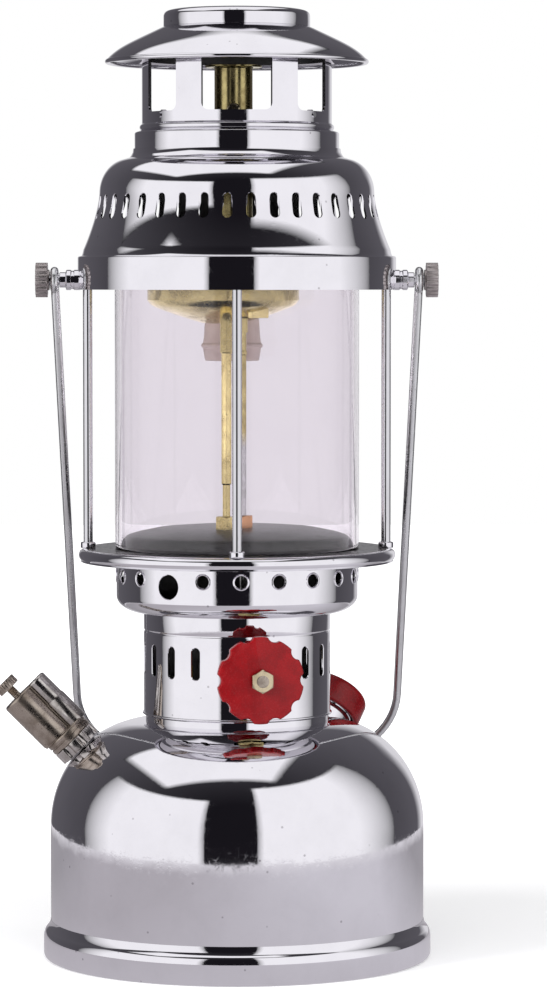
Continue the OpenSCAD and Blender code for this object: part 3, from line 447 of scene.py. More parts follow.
# ---- Pump -------------------------------------------------------------------------------
# The pump slants out of the shoulder at the back right: a chromed collar and guide cap, a
# steel rod with a leather cup inside, and a red pressed knob. The collar is soldered to the
# tank, the guide cap screws into it, and the knob is riveted to the rod.
brass_inner = metal("inner_brass", (0.60, 0.45, 0.20, 1), (0.25, 0.17, 0.07, 1), 0.6, 0.2, 0.45, waves=0.2,
                    scale=1.8, spots=0.1)
dress(brass_inner, "pump_tube", "pump_check_valve", "pickup_tube")
collar_outline = [(10.1, -6), (12.5, -6), (12.5, 4.4), (12.2, 4.7), (12.2, 5.0), (12.5, 5.3), (12.5, 5.9),
                  (10.1, 5.9), (10.1, -6)]
pump_collar = spin_up("pump_socket", collar_outline, 128)
fasten(soften(place(pump_collar, pump_spot, pump_turn)), chrome, "lantern", "chrome_sheet", "pump_collar")
guide_outline = [(2.35, 1.1), (9.9, 1.1), (9.9, 6.05), (12.1, 6.05)] + bow(12.1, 6.45, 0.4, 0.4, -90, 0, 3)
guide_outline += bow(11.7, 7.2, 0.8, 0.8, 0, 90, 4) + [(8.4, 8.0), (8.0, 7.6), (4.2, 7.6), (3.6, 8.0),
                                                       (2.6, 8.0), (2.35, 7.8), (2.35, 1.1)]
guide = spin_up("pump_guide", guide_outline, 128)
fasten(soften(place(guide, pump_spot, pump_turn)), chrome, "lantern", "chrome_sheet", "pump_guide_cap")
rod_steel = metal("rod_steel", (0.62, 0.62, 0.64, 1), (0.30, 0.29, 0.28, 1), 0.35, 0.09, 0.3, waves=0.1,
                  scale=1.6, spots=0.1)
dress(rod_steel, "pump_rod")
leather, tree, shader, coords = new_material("pump_leather")
grain = place_group(tree, wear, coords, Scale=5.0)
wire(tree, blend_colours(tree, grain["Film"], (0.09, 0.045, 0.022, 1), (0.03, 0.015, 0.008, 1)),
     shader.inputs["Base Color"])
wire(tree, spread(tree, grain["Rubs"], 0, 1, 0.45, 0.75), shader.inputs["Roughness"])
wire(tree, bump(tree, grain["Film"], 0.5, 0.0004), shader.inputs["Normal"])
dress(leather, "pump_cup")

red_plastic, tree, shader, coords = new_material("red_plastic")
marks = place_group(tree, wear, coords, Scale=2.4)
grains = place_group(tree, specks, coords, Scale=900.0, Share=0.03)["Mask"]
deep = blend_colours(tree, marks["Film"], (0.27, 0.003, 0.006, 1), (0.17, 0.002, 0.004, 1))
wire(tree, blend_colours(tree, combine(tree, "MULTIPLY", grains, 0.35), deep, (0.50, 0.10, 0.09, 1)),
     shader.inputs["Base Color"])
shader.inputs["Specular IOR Level"].default_value = 0.3
wire(tree, spread(tree, marks["Rubs"], 0, 1, 0.24, 0.45), shader.inputs["Roughness"])
wire(tree, bump(tree, marks["Waves"], 0.12, 0.0008), shader.inputs["Normal"])

knob_outline = [(2.25, 10.4), (2.25, 10.1), (4.2, 10.1)] + bow(4.2, 10.4, 0.3, 0.3, -90, 0, 3)
knob_outline += [(4.5, 11.5), (6, 11.55), (12.6, 11.55)] + bow(12.6, 10.55, 1, 1, 90, 0, 5)
knob_outline += [(13.6, 5.4)] + bow(14.8, 5.4, 1.2, 1.0, 180, 360, 8) + [(16, 9)]
knob_outline += bow(13.6, 13.5, 2.4, 3.0, 0, 90, 8) + [(9.5, 16.5), (8.2, 16.35), (6.6, 15.9), (4.6, 15.8),
                                                   (3.4, 16.1), (2.6, 16.5), (0, 16.6)]
knob = spin_up("pump_grip", knob_outline, 128)
fasten(soften(place(knob, pump_spot, pump_turn), 40), red_plastic, "pump_plunger", "red_plastic", "pump_knob")

# ---- Neck ring and lower drum -----------------------------------------------------------
# A bead of chromed brass holds the cage on the tank's crown. On it stands the lower drum, a
# rolled sheet with a pressed groove near its top, slots for the air all round, and a round
# opening at the front through which the control valve comes.
drum_r, drum_foot, drum_seam = 39.5, 104, 146
neck_outline = [(37.3, 97), (38.7, 97), (38.7, 102.6), (39.2, 103.0)] + bow(39.6, 103.5, 0.5, 0.5, -90, 90, 8)
neck_outline += [(37.3, 104), (37.3, 97)]
neck = soften(spin_up("neck_bead", neck_outline, 192))
fasten(neck, chrome, "lantern", "chrome_sheet", "neck_ring")

drum_outline = [(drum_r, drum_foot), (drum_r, 112), (drum_r, 131), (drum_r, 137.6)]
drum_outline += [(drum_r - 0.1, 137.9), (drum_r - 0.28, 138.2), (drum_r - 0.28, 138.6), (drum_r - 0.1, 138.9)]
drum_outline += [(drum_r, 139.2), (drum_r, drum_seam)]
lower_drum = thicken(spin_up("lower_drum_sheet", drum_outline, 256), 0.8)


def slot_punch(width, length, inner, outer, wall_r, flare=0.3):
    """A punch for a slot with round ends, facing the front, that leaves an eased outer edge."""
    clear_selection()
    bpy.ops.mesh.primitive_cylinder_add(vertices=24, radius=width / 2 * mm, depth=(outer - inner) * mm,
                                        location=(0, -(inner + outer) / 2 * mm, 0),
                                        rotation=(radians(90), 0, 0))
    punch = place_as_is(bpy.context.object)
    spread_by = (length - width) / 2 * mm
    edge_y = -(wall_r - flare) * mm
    bpy.ops.object.mode_set(mode="EDIT")
    bpy.ops.mesh.select_all(action="SELECT")
    bpy.ops.mesh.bisect(plane_co=(0, edge_y, 0), plane_no=(0, 1, 0))
    bpy.ops.mesh.select_all(action="SELECT")
    bpy.ops.mesh.bisect(plane_co=(0, -(wall_r + flare) * mm, 0), plane_no=(0, 1, 0))
    bpy.ops.object.mode_set(mode="OBJECT")
    for v in punch.data.vertices:
        if v.co.y < edge_y - 0.1 * mm:
            wider = 1 + 2 * flare * mm / (width / 2 * mm)
            v.co.x, v.co.z = v.co.x * wider, v.co.z * wider
        v.co.z += spread_by if v.co.z > 0 else -spread_by
    return punch


def place_as_is(obj):
    focus(obj)
    bpy.ops.object.transform_apply(location=True, rotation=True, scale=True)
    return obj


def punch_round(obj, punch, height, angles):
    """Punches one opening at each angle (degrees from the front to the right)."""
    row = []
    for i, angle in enumerate(angles):
        row.append(place(copy_of(punch, f"punch_{i}"), (0, 0, height), (0, 0, angle)))
    bpy.data.objects.remove(punch)
    return cut_away(obj, join_all("punches", row))


valve_az, valve_z = 10, 122
punch_round(lower_drum, slot_punch(3.8, 13.2, 34, 45, drum_r), 126.8,
            [valve_az + 18 * i for i in (2, 3, 4, 5, 15, 16, 17, 18)]
            + [valve_az + 9 + 18 * i for i in range(6, 14)])
clear_selection()
bpy.ops.mesh.primitive_cylinder_add(vertices=64, radius=8.6 * mm, depth=14 * mm)
cut_away(lower_drum, place(place(bpy.context.object, (0, 0, drum_r)), (0, 0, valve_z), (90, 0, valve_az)))
fasten(soften(lower_drum), chrome, "lantern", "chrome_sheet", "lower_drum")
sheet_inside = metal("dull_inside", (0.17, 0.165, 0.17, 1), (0.06, 0.055, 0.05, 1), 0.7, 0.35, 0.6, waves=0.3)
line_inside(lower_drum, sheet_inside)

# ---- Valve ------------------------------------------------------------------------------
# The control valve is turned brass: a block on the tank's crown, a stuffing box with its
# gland nut, and a spindle with the red moulded wheel, held by a brass nut. An eccentric on
# the spindle lifts the cleaning needle through the jet.
brass = metal("tarnished_brass", (0.66, 0.56, 0.26, 1), (0.30, 0.22, 0.09, 1), 0.75, 0.16, 0.42, waves=0.3,
              scale=2.0, spots=0.12)
dress(brass, "valve_block", "eccentric", "jet")
dress(rod_steel, "needle_rod")
dress(nickel_old, "valve_spindle")
valve_turn = (90, 0, valve_az)
box = spin_up("stuffing_box_body", [(2.56, 15.4), (4.8, 15.4), (4.8, 22.2), (6.4, 22.2), (6.4, 26), (5.9, 26.4),
                                    (5.9, 28.2), (6.4, 28.6), (6.4, 35.6), (6.1, 36), (2.56, 36),
                                    (2.56, 15.4)], 96)
fasten(soften(place(box, (0, 0, valve_z), valve_turn)), brass, "lantern", "brass", "stuffing_box")


def hex_nut(name, across, height, bore_r, chamfer=0.5, both=True):
    """A nut: a six-sided prism whose corners are turned off, with its bore."""
    clear_selection()
    bpy.ops.mesh.primitive_cylinder_add(vertices=6, radius=across / 2 / cos(pi / 6) * mm, depth=height * mm,
                                        location=(0, 0, height / 2 * mm))
    nut = place_as_is(bpy.context.object)
    nut.name = nut.data.name = name
    corner = across / 2 / cos(pi / 6)
    turned = [(0, -0.1), (across / 2, -0.1)] if not both else [(0, 0), (across / 2 - 0.1, 0)]
    turned += [(corner + 0.05, chamfer), (corner + 0.05, height - chamfer), (across / 2 - 0.1, height),
               (0, height)]
    lathe = spin_up("lathe", turned, 96)
    cut_away(nut, lathe, "INTERSECT")
    return bore(nut, bore_r, -1, height + 1)


gland = hex_nut("gland_nut_hex", 12.8, 8, 2.56, 0.8)
place(gland, (0, 0, 36))
fasten(soften(place(gland, (0, 0, valve_z), valve_turn), 20), brass, "lantern", "brass", "gland_nut")

wheel = notched_prism("control_wheel", 18, 10, 3.4, 19.9, 4.5, points=300)
ease_edges(wheel, 1.3, 4, 50)
place(wheel, (0, 0, 52.5))
hub = spin_up("wheel_hub", [(2.5, 47.6), (5.2, 47.6), (5.5, 47.9), (5.5, 52.6), (2.5, 52.6), (2.5, 47.6)], 64)
wheel = bore(join_all("control_wheel", [wheel, hub]), 2.5, 44, 60)
fasten(soften(place(wheel, (0, 0, valve_z), valve_turn)), red_plastic, "valve_wheel_set", "red_plastic",
       "valve_wheel")
nut = place(hex_nut("wheel_nut_hex", 8.6, 4, 2.5, 0.6), (0, 0, 57))
brass_bright = metal("bright_brass", (0.62, 0.53, 0.36, 1), (0.30, 0.23, 0.13, 1), 0.6, 0.12, 0.35, waves=0.2,
                     scale=2.4, spots=0.08)
fasten(soften(place(nut, (0, 0, valve_z), valve_turn), 20), brass_bright, "valve_wheel_set", "chrome_sheet",
       "wheel_nut")

# ---- Upper drum -------------------------------------------------------------------------
# The upper drum widens over a rounded foot to the width of the glass. It is the same chromed
# sheet, with a row of round holes whose rims are rolled out, and one larger hole at the left
# for the lighting torch.
up_r, up_round, plate_z = 51, 7, 173
up_outline = [(drum_r, drum_seam)] + bow(drum_r, drum_seam + up_round, up_r - drum_r, up_round, -84, 0, 16)
up_outline += [(up_r, 160), (up_r, plate_z - 1)]
upper_drum = thicken(spin_up("upper_drum_sheet", up_outline, 256), 0.8)
hole_angles = [1.9 + 18 * i for i in range(20) if i != 18]
punch_round(upper_drum, slot_punch(5.2, 5.2, 46, 56, up_r, 0.25), 162, hole_angles)
punch_round(upper_drum, slot_punch(10, 10, 46, 56, up_r, 0.3), 159.4, [-34])
rims = []
for i, angle in enumerate(hole_angles):
    clear_selection()
    bpy.ops.mesh.primitive_torus_add(major_segments=32, minor_segments=8, major_radius=3.05 * mm,
                                     minor_radius=0.42 * mm)
    rim = place(bpy.context.object, (0, 0, up_r - 0.12))
    rims.append(place(rim, (0, 0, 162), (90, 0, angle)))
upper_drum = join_all("upper_drum_sheet", [upper_drum] + rims)
fasten(soften(upper_drum), chrome, "lantern", "chrome_sheet", "upper_drum")
line_inside(upper_drum, sheet_inside)

# ---- Gallery plate ----------------------------------------------------------------------
# The gallery plate closes the upper drum and carries the glass and the four rods. Its rim
# is rolled down into a round bead. It is chromed like the drums.
gallery_outline = [(39.5, plate_z), (39.5, plate_z - 1), (65.6, plate_z - 1), (65.7, 168.2)]
gallery_outline += bow(65.7, 168.2, 0.7, 0.7, 180, 300, 5)
gallery_outline += bow(64.1, 170.25, 2.8, 2.75, -55, 90, 12)
gallery_outline += [(60, plate_z), (39.5, plate_z)]
gallery = soften(spin_up("gallery_sheet", gallery_outline, 256))
fasten(gallery, chrome, "lantern", "chrome_sheet", "gallery_plate")

# ---- Heat shield ------------------------------------------------------------------------
# A low black dish stands in the glass, around the tubes. It is pressed steel with stove
# enamel, a little uneven, with dust on its top.
enamel, tree, shader, coords = new_material("black_enamel")
shader.inputs["Specular IOR Level"].default_value = 0.2
marks = place_group(tree, wear, coords, Scale=1.4)
dust = place_group(tree, specks, coords, Scale=700.0, Share=0.10)["Mask"]
dark = blend_colours(tree, marks["Film"], (0.016, 0.015, 0.017, 1), (0.035, 0.033, 0.036, 1))
wire(tree, blend_colours(tree, combine(tree, "MULTIPLY", dust, 0.4), dark, (0.16, 0.15, 0.15, 1)),
     shader.inputs["Base Color"])
wire(tree, spread(tree, marks["Rubs"], 0, 1, 0.28, 0.5), shader.inputs["Roughness"])
wire(tree, bump(tree, marks["Film"], 0.15, 0.0004), shader.inputs["Normal"])
shield_outline = [(0, 178.2), (43.6, 178.2)] + bow(43.6, 174, 4.5, 4.2, 75, 0, 8) + [(48.1, 173.05)]
shield_outline += [(48.9, 173.05)] + bow(44.4, 174, 4.5, 5, 0, 75, 8) + [(42, 179.8), (34, 181.4), (24, 182.2), (0, 182.4)]
shield = soften(spin_up("heat_dish", shield_outline, 192))
# The chromed plate's top face inside its bead takes the dish's black enamel. It is a painted dark reflection, standing
# for the dark room that the chrome shows there.
gallery.data.materials.append(enamel)
for face in gallery.data.polygons:
    if face.normal.z > 0.98 and face.center.xy.length < 64.2 * mm:
        face.material_index = 1
fasten(shield, enamel, "lantern", "black_enamel", "heat_shield")

# ---- Cage rods --------------------------------------------------------------------------
# Four plated steel rods stand on the gallery plate and carry the top ring. Each is riveted
# at its ends and stands in a small pressed collar.
plated_rod = metal("plated_rod", (0.72, 0.72, 0.74, 1), (0.34, 0.33, 0.33, 1), 0.25, 0.05, 0.22, waves=0.12,
                   scale=1.4, spots=0.08, along=(1, 1, 0.25))
rod_outline = [(0, 172.1), (1.8, 172.1), (2, 172.3), (2, 285.2), (1.8, 285.4), (0, 285.4)]
foot_outline = [(2.01, 173.02), (3.1, 173.02), (3.2, 173.2), (3.2, 174.4)] + bow(2.5, 174.9, 0.7, 0.7, 0, 90, 5)
foot_outline += [(2.01, 175.6), (2.01, 173.02)]
feet = []
for name, angle in (("rod_front", 0), ("rod_right", 90), ("rod_back", 180), ("rod_left", 270)):
    rod = place(place(spin_up(name + "_bar", rod_outline, 32), (0, -62.9, 0)), turn=(0, 0, angle))
    fasten(soften(rod), plated_rod, "lantern", "plated_steel", name)
    foot = spin_up("rod_foot", foot_outline, 32)
    feet.append(place(place(foot, (0, -62.9, 0)), turn=(0, 0, angle)))
fasten(soften(join_all("rod_collars", feet)), chrome, "lantern", "plated_steel", "rod_feet")

# ---- Glass ------------------------------------------------------------------------------
# The glass is one cylinder of clear borosilicate with fire-polished rims and a faint lilac
# tint, as old lantern glasses have. It stands on the gallery plate around the dish.
glass_clear, tree, shader, coords = new_material("clear_glass")
shader.inputs["Transmission Weight"].default_value = 1
shader.inputs["IOR"].default_value = 1.45
shader.inputs["Specular IOR Level"].default_value = 0.3
marks = place_group(tree, wear, coords, Scale=0.8)
wire(tree, blend_colours(tree, combine(tree, "MULTIPLY", marks["Film"], 0.4), (0.865, 0.832, 0.872, 1),
                         (0.84, 0.805, 0.85, 1)), shader.inputs["Base Color"])
wire(tree, spread(tree, marks["Rubs"], 0, 1, 0.0, 0.03), shader.inputs["Roughness"])
wire(tree, bump(tree, marks["Waves"], 0.05, 0.0008), shader.inputs["Normal"])
glass_foot, glass_top = 173.05, 285.0
glass_outline = bow(50.5, glass_foot + 1, 1, 1, 180, 360, 8) + [(51.5, glass_foot + 1.5), (51.5, glass_top - 1.5)]
glass_outline += bow(50.5, glass_top - 1, 1, 1, 0, 180, 8) + [(49.5, glass_top - 1.5), (49.5, glass_foot + 1.5)]
glass_outline += glass_outline[:1]
glass = soften(spin_up("glass_cylinder", glass_outline, 192), 50)
fasten(glass, glass_clear, "lantern", "clear_glass", "glass")

# ---- Burner -----------------------------------------------------------------------------
# The burner is brass gone yellow-green: the mixing tube through the hood's middle, a shallow
# pan under the inner casing, the mixer elbow at the right, and a pale ceramic nozzle below.
# The vaporiser tube is brass above and steel below; the preheater tube beside it is brass.
mix_outline = [(7.2, 268.4), (8, 268.4), (8, 374.6), (8.4, 375.1), (11.6, 375.1), (12, 375.3), (12, 375.8),
               (11.8, 376), (7.6, 376), (7.2, 375.6), (7.2, 268.4)]
mixing = place(spin_up("mixing_pipe", mix_outline, 96), (-1.4, 0, 0))
fasten(soften(mixing), brass, "lantern", "brass", "mixing_tube")
screw_head = spin_up("mixing_screw", [(0, -0.8), (1.5, -0.8), (1.5, 0.1), (2.7, 0.1), (3, 0.4), (3, 1.2)]
                     + bow(2.2, 1.2, 0.8, 0.8, 0, 90, 4) + [(0, 2)], 48)
clear_selection()
bpy.ops.mesh.primitive_cube_add(size=1)
slot_cutter = bpy.context.object
slot_cutter.scale = (7 * mm, 0.9 * mm, 1.6 * mm)
cut_away(screw_head, place(slot_cutter, (0, 0, 2), (0, 0, 35)))
fasten(soften(place(screw_head, (-1.4, -8, 357), (90, 0, 0))), brass_bright, "lantern", "brass",
       "mixing_tube_screw")

pan_lower = [(0, 267), (9, 268), (20, 271.4), (29.0, 274.7), (30.6, 275.7), (32, 277.5)]
pan_outline = pan_lower + [(32, 284.4)] + bow(31.5, 284.5, 0.5, 0.5, 0, 180, 5) + [(31, 278.4), (29.6, 276.7)]
pan_outline += [(28.5, 275.7), (20, 272.5), (9, 269), (0, 268)]
pan = place(spin_up("burner_dish", pan_outline, 128), (-5.8, 0, 0))
vap_x, vap_y = 2.12, -12.01
clear_selection()
bpy.ops.mesh.primitive_cylinder_add(vertices=48, radius=3 * mm, depth=20 * mm)
cut_away(pan, place(bpy.context.object, (vap_x, vap_y, 272)))
fasten(soften(pan), brass, "lantern", "brass", "burner_pan")

clear_selection()
bpy.ops.mesh.primitive_cube_add(size=8.5 * mm, location=(8.85 * mm, -16 * mm, 277.5 * mm))
elbow = place_as_is(bpy.context.object)
elbow.name = elbow.data.name = "mixer_block"
for v in elbow.data.vertices:
    v.co.z = (285 if v.co.z > 277.5 * mm else 270) * mm
bpy.ops.object.mode_set(mode="EDIT")
bpy.ops.mesh.select_all(action="DESELECT")
bpy.ops.object.mode_set(mode="OBJECT")
for face in elbow.data.polygons:
    face.select = face.normal.z < -0.9
bpy.ops.object.mode_set(mode="EDIT")
bpy.ops.mesh.select_mode(type="FACE")
bpy.ops.mesh.inset(thickness=1.4 * mm, depth=-0.7 * mm)
bpy.ops.object.mode_set(mode="OBJECT")
fasten(soften(ease_edges(elbow, 0.45, 3)), brass, "lantern", "brass", "mixer_elbow")

ceramic, tree, shader, coords = new_material("ceramic")
marks = place_group(tree, wear, coords, Scale=4.0)
wire(tree, blend_colours(tree, marks["Film"], (0.80, 0.66, 0.61, 1), (0.70, 0.55, 0.50, 1)),
     shader.inputs["Base Color"])
wire(tree, spread(tree, marks["Rubs"], 0, 1, 0.6, 0.85), shader.inputs["Roughness"])
wire(tree, bump(tree, marks["Rubs"], 0.25, 0.0003), shader.inputs["Normal"])
nozzle_outline = [(8, 260), (8, 252.4), (8.4, 252)] + bow(10.9, 252.5, 0.6, 0.5, -90, 0, 4)
nozzle_outline += [(12.3, 257.3), (12.8, 257.7), (13, 258.1), (13, 258.7), (12.7, 259.2), (12.3, 259.4),
                   (11.9, 262), (11.4, 270), (11.2, 274), (6, 274), (6, 260), (8, 260)]
nozzle = place(spin_up("clay_cone", nozzle_outline, 96), (-2.1, 4, 0))
pan_block = spin_up("pan_block", pan_lower + [(32, 290), (0, 290)], 96)
cut_away(nozzle, place(pan_block, (-5.8, 0, 0)))
fasten(soften(nozzle), ceramic, "lantern", "ceramic", "clay_nozzle")

tube_mix, tree, shader, coords = new_material("vaporiser_brass")
marks = place_group(tree, wear, coords, Scale=2.0)
shader.inputs["Metallic"].default_value = 1
parts_of = tree.nodes.new("ShaderNodeSeparateXYZ")
wire(tree, coords, parts_of.inputs["Vector"])
upper_part = spread(tree, parts_of.outputs["Z"], 0.216, 0.223)
yellow = blend_colours(tree, marks["Film"], (0.66, 0.56, 0.26, 1), (0.36, 0.28, 0.12, 1))
grey = blend_colours(tree, marks["Film"], (0.60, 0.60, 0.60, 1), (0.36, 0.35, 0.34, 1))
wire(tree, blend_colours(tree, upper_part, grey, yellow), shader.inputs["Base Color"])
wire(tree, spread(tree, marks["Rubs"], 0, 1, 0.16, 0.4), shader.inputs["Roughness"])
wire(tree, bump(tree, marks["Waves"], 0.25, 0.0006), shader.inputs["Normal"])
vap_outline = [(0, 136), (1.8, 136), (1.8, 186), (1.8, 254.6), (2.1, 254.9), (2.1, 256.2), (1.8, 256.5),
               (1.8, 264), (0, 264)]
vaporiser = place(spin_up("vaporiser_pipe", vap_outline, 48), (vap_x, vap_y, 0))
fasten(soften(vaporiser), tube_mix, "lantern", "brass", "vaporiser_tube")
copper = metal("copper_nut", (0.72, 0.40, 0.22, 1), (0.40, 0.20, 0.10, 1), 0.6, 0.16, 0.4, waves=0.3, scale=2.4,
               spots=0.08)
nut = place(hex_nut("vaporiser_hex", 8.6, 8.4, 1.82, 0.6), (vap_x, vap_y, 179.05))
fasten(soften(nut, 20), copper, "lantern", "copper", "vaporiser_nut")
pre_outline = [(0, 175), (1.6, 175), (1.6, 200.6), (2.1, 201.2), (2.1, 255.2), (2.3, 255.6), (2.6, 255.9),
               (2.6, 276.4), (2.3, 277), (0, 277)]
preheater = place(spin_up("preheater_pipe", pre_outline, 48), (-4.4, -20.4, 0))
fasten(soften(preheater), brass, "lantern", "brass", "preheater_tube")
nut = place(hex_nut("preheater_hex", 8.6, 8.4, 2.12, 0.6), (-4.4, -20.4, 179.05))
fasten(soften(nut, 20), brass, "lantern", "brass", "preheater_nut")

# ---- Inner casing and top ring ----------------------------------------------------------
# A cone of plain steel lies on the top ring and hangs the burner. The ring itself is a
# chromed band with a flange, riveted on the four rods.
casing_outline = [(64.6, 286.35), (52.6, 287.4), (14, 299.1), (12, 299.1), (2, 299.1), (2, 298.3), (13.9, 298.3),
                  (52.5, 286.6), (64.5, 285.6), (64.6, 286.35)]
casing = spin_up("casing_cone", casing_outline, 128)
fasten(soften(casing), steel_dull, "lantern", "inner_steel", "inner_casing")
top_outline = [(59.6, 284), (65.2, 284)] + bow(65.2, 284.6, 0.6, 0.6, -90, 0, 4) + [(65.8, 294.9), (65, 294.9)]
top_outline += [(65, 285.5), (59.6, 285.5), (59.6, 284)]
top_ring = soften(spin_up("cage_top_ring", top_outline, 256))
fasten(top_ring, chrome, "lantern", "chrome_sheet", "top_ring")

# ---- Ears and thumb nuts ----------------------------------------------------------------
# Each ear is a turned boss on the top ring with a threaded bolt. The bail's eye sits on the
# bolt's shoulder, and a thumb nut of cast, unplated zinc clamps the hood.
zinc_cast = metal("cast_zinc", (0.48, 0.44, 0.43, 1), (0.26, 0.22, 0.21, 1), 0.7, 0.34, 0.6, waves=0.5,
                  scale=3.0, spots=0.12)
ear_z = 286
for side, way in (("left", -90), ("right", 90)):
    boss = spin_up(f"ear_stud_{side}", [(0, 65), (3.3, 65), (3.3, 65.8), (4.0, 65.8), (4.3, 66.1), (4.3, 68.4),
                                        (3.9, 68.8), (3.9, 69.6), (4.3, 70), (4.3, 71.6), (3.9, 72), (0, 72)], 64)
    fasten(soften(place(boss, (0, 0, ear_z), (0, way, 0))), chrome, "lantern", "chrome_sheet",
           f"ear_boss_{side}")
    bolt_outline = [(0, 71.9), (3.0, 71.9), (3.25, 72.2), (3.25, 74.4), (3, 74.7), (2, 74.7), (2, 78.6)]
    bolt_outline += [(2 - 0.28 * (i % 2), 78.8 + 0.35 * i) for i in range(12)] + [(1.7, 83.1), (0, 83.2)]
    bolt = spin_up(f"ear_screw_{side}", bolt_outline, 48)
    fasten(soften(place(bolt, (0, 0, ear_z), (0, way, 0))), chrome, "lantern", "chrome_sheet",
           f"ear_bolt_{side}")
    grip = ease_edges(notched_prism(f"thumb_wheel_{side}", 7.35, 16, 0.9, 7.65, 5, points=256), 0.7, 3)
    place(grip, (0, 0, 79.7))
    hub = spin_up("thumb_hub", [(0, 78.9), (4.1, 78.9), (4.35, 79.1), (4.35, 79.8), (0, 79.8)], 48)
    grip = bore(join_all(f"thumb_wheel_{side}", [grip, hub]), 2.06, 70, 83.5)
    fasten(soften(place(grip, (0, 0, ear_z), (0, way, 0)), 40), zinc_cast, f"thumb_nut_{side}", "thumb_nut",
           f"thumb_nut_{side}")

# ---- Bail -------------------------------------------------------------------------------
# The bail is one zinc-plated wire, bent over a former: two legs that lean in, round lower
# bends, and an eye closed around each ear bolt. At rest it leans on the shoulder behind.
wire_zinc = metal("bail_wire", (0.78, 0.79, 0.79, 1), (0.50, 0.50, 0.49, 1), 0.5, 0.26, 0.45, waves=0.15,
                  scale=2.2, spots=0.12, along=(1, 1, 0.3))
bail_x, bail_len, bend_r, wire_r, eye_r = 76.8, 223, 30, 1.75, 3.81
lean_in = atan((bail_x - 70.5) / (bail_len - bend_r))
leg_end = (bail_len - bend_r * (1 - sin(lean_in))) / cos(lean_in)
end_x, end_z = bail_x - leg_end * sin(lean_in), -leg_end * cos(lean_in)
mid_x, mid_z = end_x - bend_r * cos(lean_in), -bail_len + bend_r
leg_top = Vector((bail_x - (eye_r - 0.6) * sin(lean_in), 0, -(eye_r - 0.6) * cos(lean_in))) * mm
leg_foot = Vector((end_x, 0, end_z)) * mm
clear_selection()
bpy.ops.mesh.primitive_circle_add(vertices=24, radius=wire_r * mm, fill_type="NGON")
bail = place(bpy.context.object, [c / mm for c in leg_top], (0, -180 + lean_in * 180 / pi, 0))
bail.name = bail.data.name = "bail_wire_bow"
bpy.ops.object.mode_set(mode="EDIT")
bpy.ops.mesh.select_all(action="SELECT")


def pull(by):
    bpy.ops.mesh.extrude_region_move(TRANSFORM_OT_translate={"value": by})


def bend(centre_x):
    bpy.ops.mesh.spin(steps=14, angle=pi / 2 - lean_in, axis=(0, -1, 0), center=(centre_x * mm, 0, mid_z * mm))


pull(leg_foot - leg_top)
bend(mid_x)
pull((-2 * mid_x * mm, 0, 0))
bend(-mid_x)
pull(Vector((-leg_top.x + leg_foot.x, 0, leg_top.z - leg_foot.z)))
bpy.ops.mesh.select_all(action="SELECT")
bpy.ops.mesh.remove_doubles(threshold=0.002 * mm)
bpy.ops.mesh.normals_make_consistent(inside=False)
bpy.ops.object.mode_set(mode="OBJECT")
eyes = [bail]
for side in (-1, 1):
    clear_selection()
    bpy.ops.mesh.primitive_torus_add(major_segments=48, minor_segments=20, major_radius=eye_r * mm,
                                     minor_radius=wire_r * mm, rotation=(0, radians(90), 0))
    eyes.append(place(place_as_is(bpy.context.object), (side * bail_x, 0, 0)))
bail = join_all("bail_wire_bow", eyes)
bail_lean = 20.2
fasten(soften(place(bail, (0, 0, ear_z), (bail_lean, 0, 0)), 50), wire_zinc, "bail", "bail_wire", "bail")

# ---- Hood dome --------------------------------------------------------------------------
# The hood lifts off in one: its dome is spun from chromed sheet, with a straight band that
# slips over the top ring, a flared skirt, a row of slots around the waist, and a neck.
band_r, band_z, band_top, waist_r, waist_z, dome_top = 67, 282, 296, 57.8, 322.5, 336.8
foot_r, foot_z = 64.6, 298.7
dome_outline = [(band_r, band_z), (band_r, 288)]
dome_outline += bow(66.2, 295.2, 0.8, 0.8, 0, 80, 5) + [(65.4, 296.15), (65.0, 296.9)]
dome_outline += [(waist_r + (foot_r - waist_r) * d ** 1.5, waist_z + (foot_z - waist_z) * d)
                 for d in [1 - i / 16 for i in range(17)]]
dome_outline += bow(45.5, waist_z, 12.3, 14.3, 4, 80, 14) + [(45.2, 337.3), (44.6, 338.0), (43.8, 339.4),
                                                            (43.6, 341.0)]
dome = thicken(spin_up("hood_dome_sheet", dome_outline, 256), 0.8)
punch_round(dome, slot_punch(3, 9.6, 52, 64, 57.9, 0.3), 316.7,
            [-3.8 + 360 / 38 * i + (2.9 if 10 <= i <= 28 else 0) for i in range(38)])
for angle in (90, 270):
    clear_selection()
    bpy.ops.mesh.primitive_cylinder_add(vertices=32, radius=5 * mm, depth=8 * mm,
                                        location=(0, -band_r * mm, ear_z * mm), rotation=(radians(90), 0, 0))
    notch = place_as_is(bpy.context.object)
    for v in notch.data.vertices:
        if v.co.z < ear_z * mm - 0.0001:
            v.co.z = band_z * mm - 0.002
    cut_away(dome, place(notch, turn=(0, 0, angle)))
fasten(soften(dome), chrome, "hood", "chrome_sheet", "hood_dome")
line_inside(dome, sheet_inside)

# ---- Hood chimney -----------------------------------------------------------------------
# The chimney stands in the dome's neck: a socket, a rolled bead, and a straight wall with
# six windows that have round lower corners. Four screws hold the parts together.
socket_r, chim_r, chim_top = 43, 39.9, 386.9
chimney_outline = [(socket_r, 337.1), (socket_r, 346.4)] + bow(42.2, 347.2, 0.8, 0.8, 0, 80, 4)
chimney_outline += [(41.2, 348.4)] + bow(39.9, 349.95, 1.0, 1.25, -70, 70, 10)
chimney_outline += [(39.95, 351.5), (chim_r, 352), (chim_r, 370), (chim_r, chim_top)]
chimney = thicken(spin_up("hood_chimney_sheet", chimney_outline, 256), 0.8)


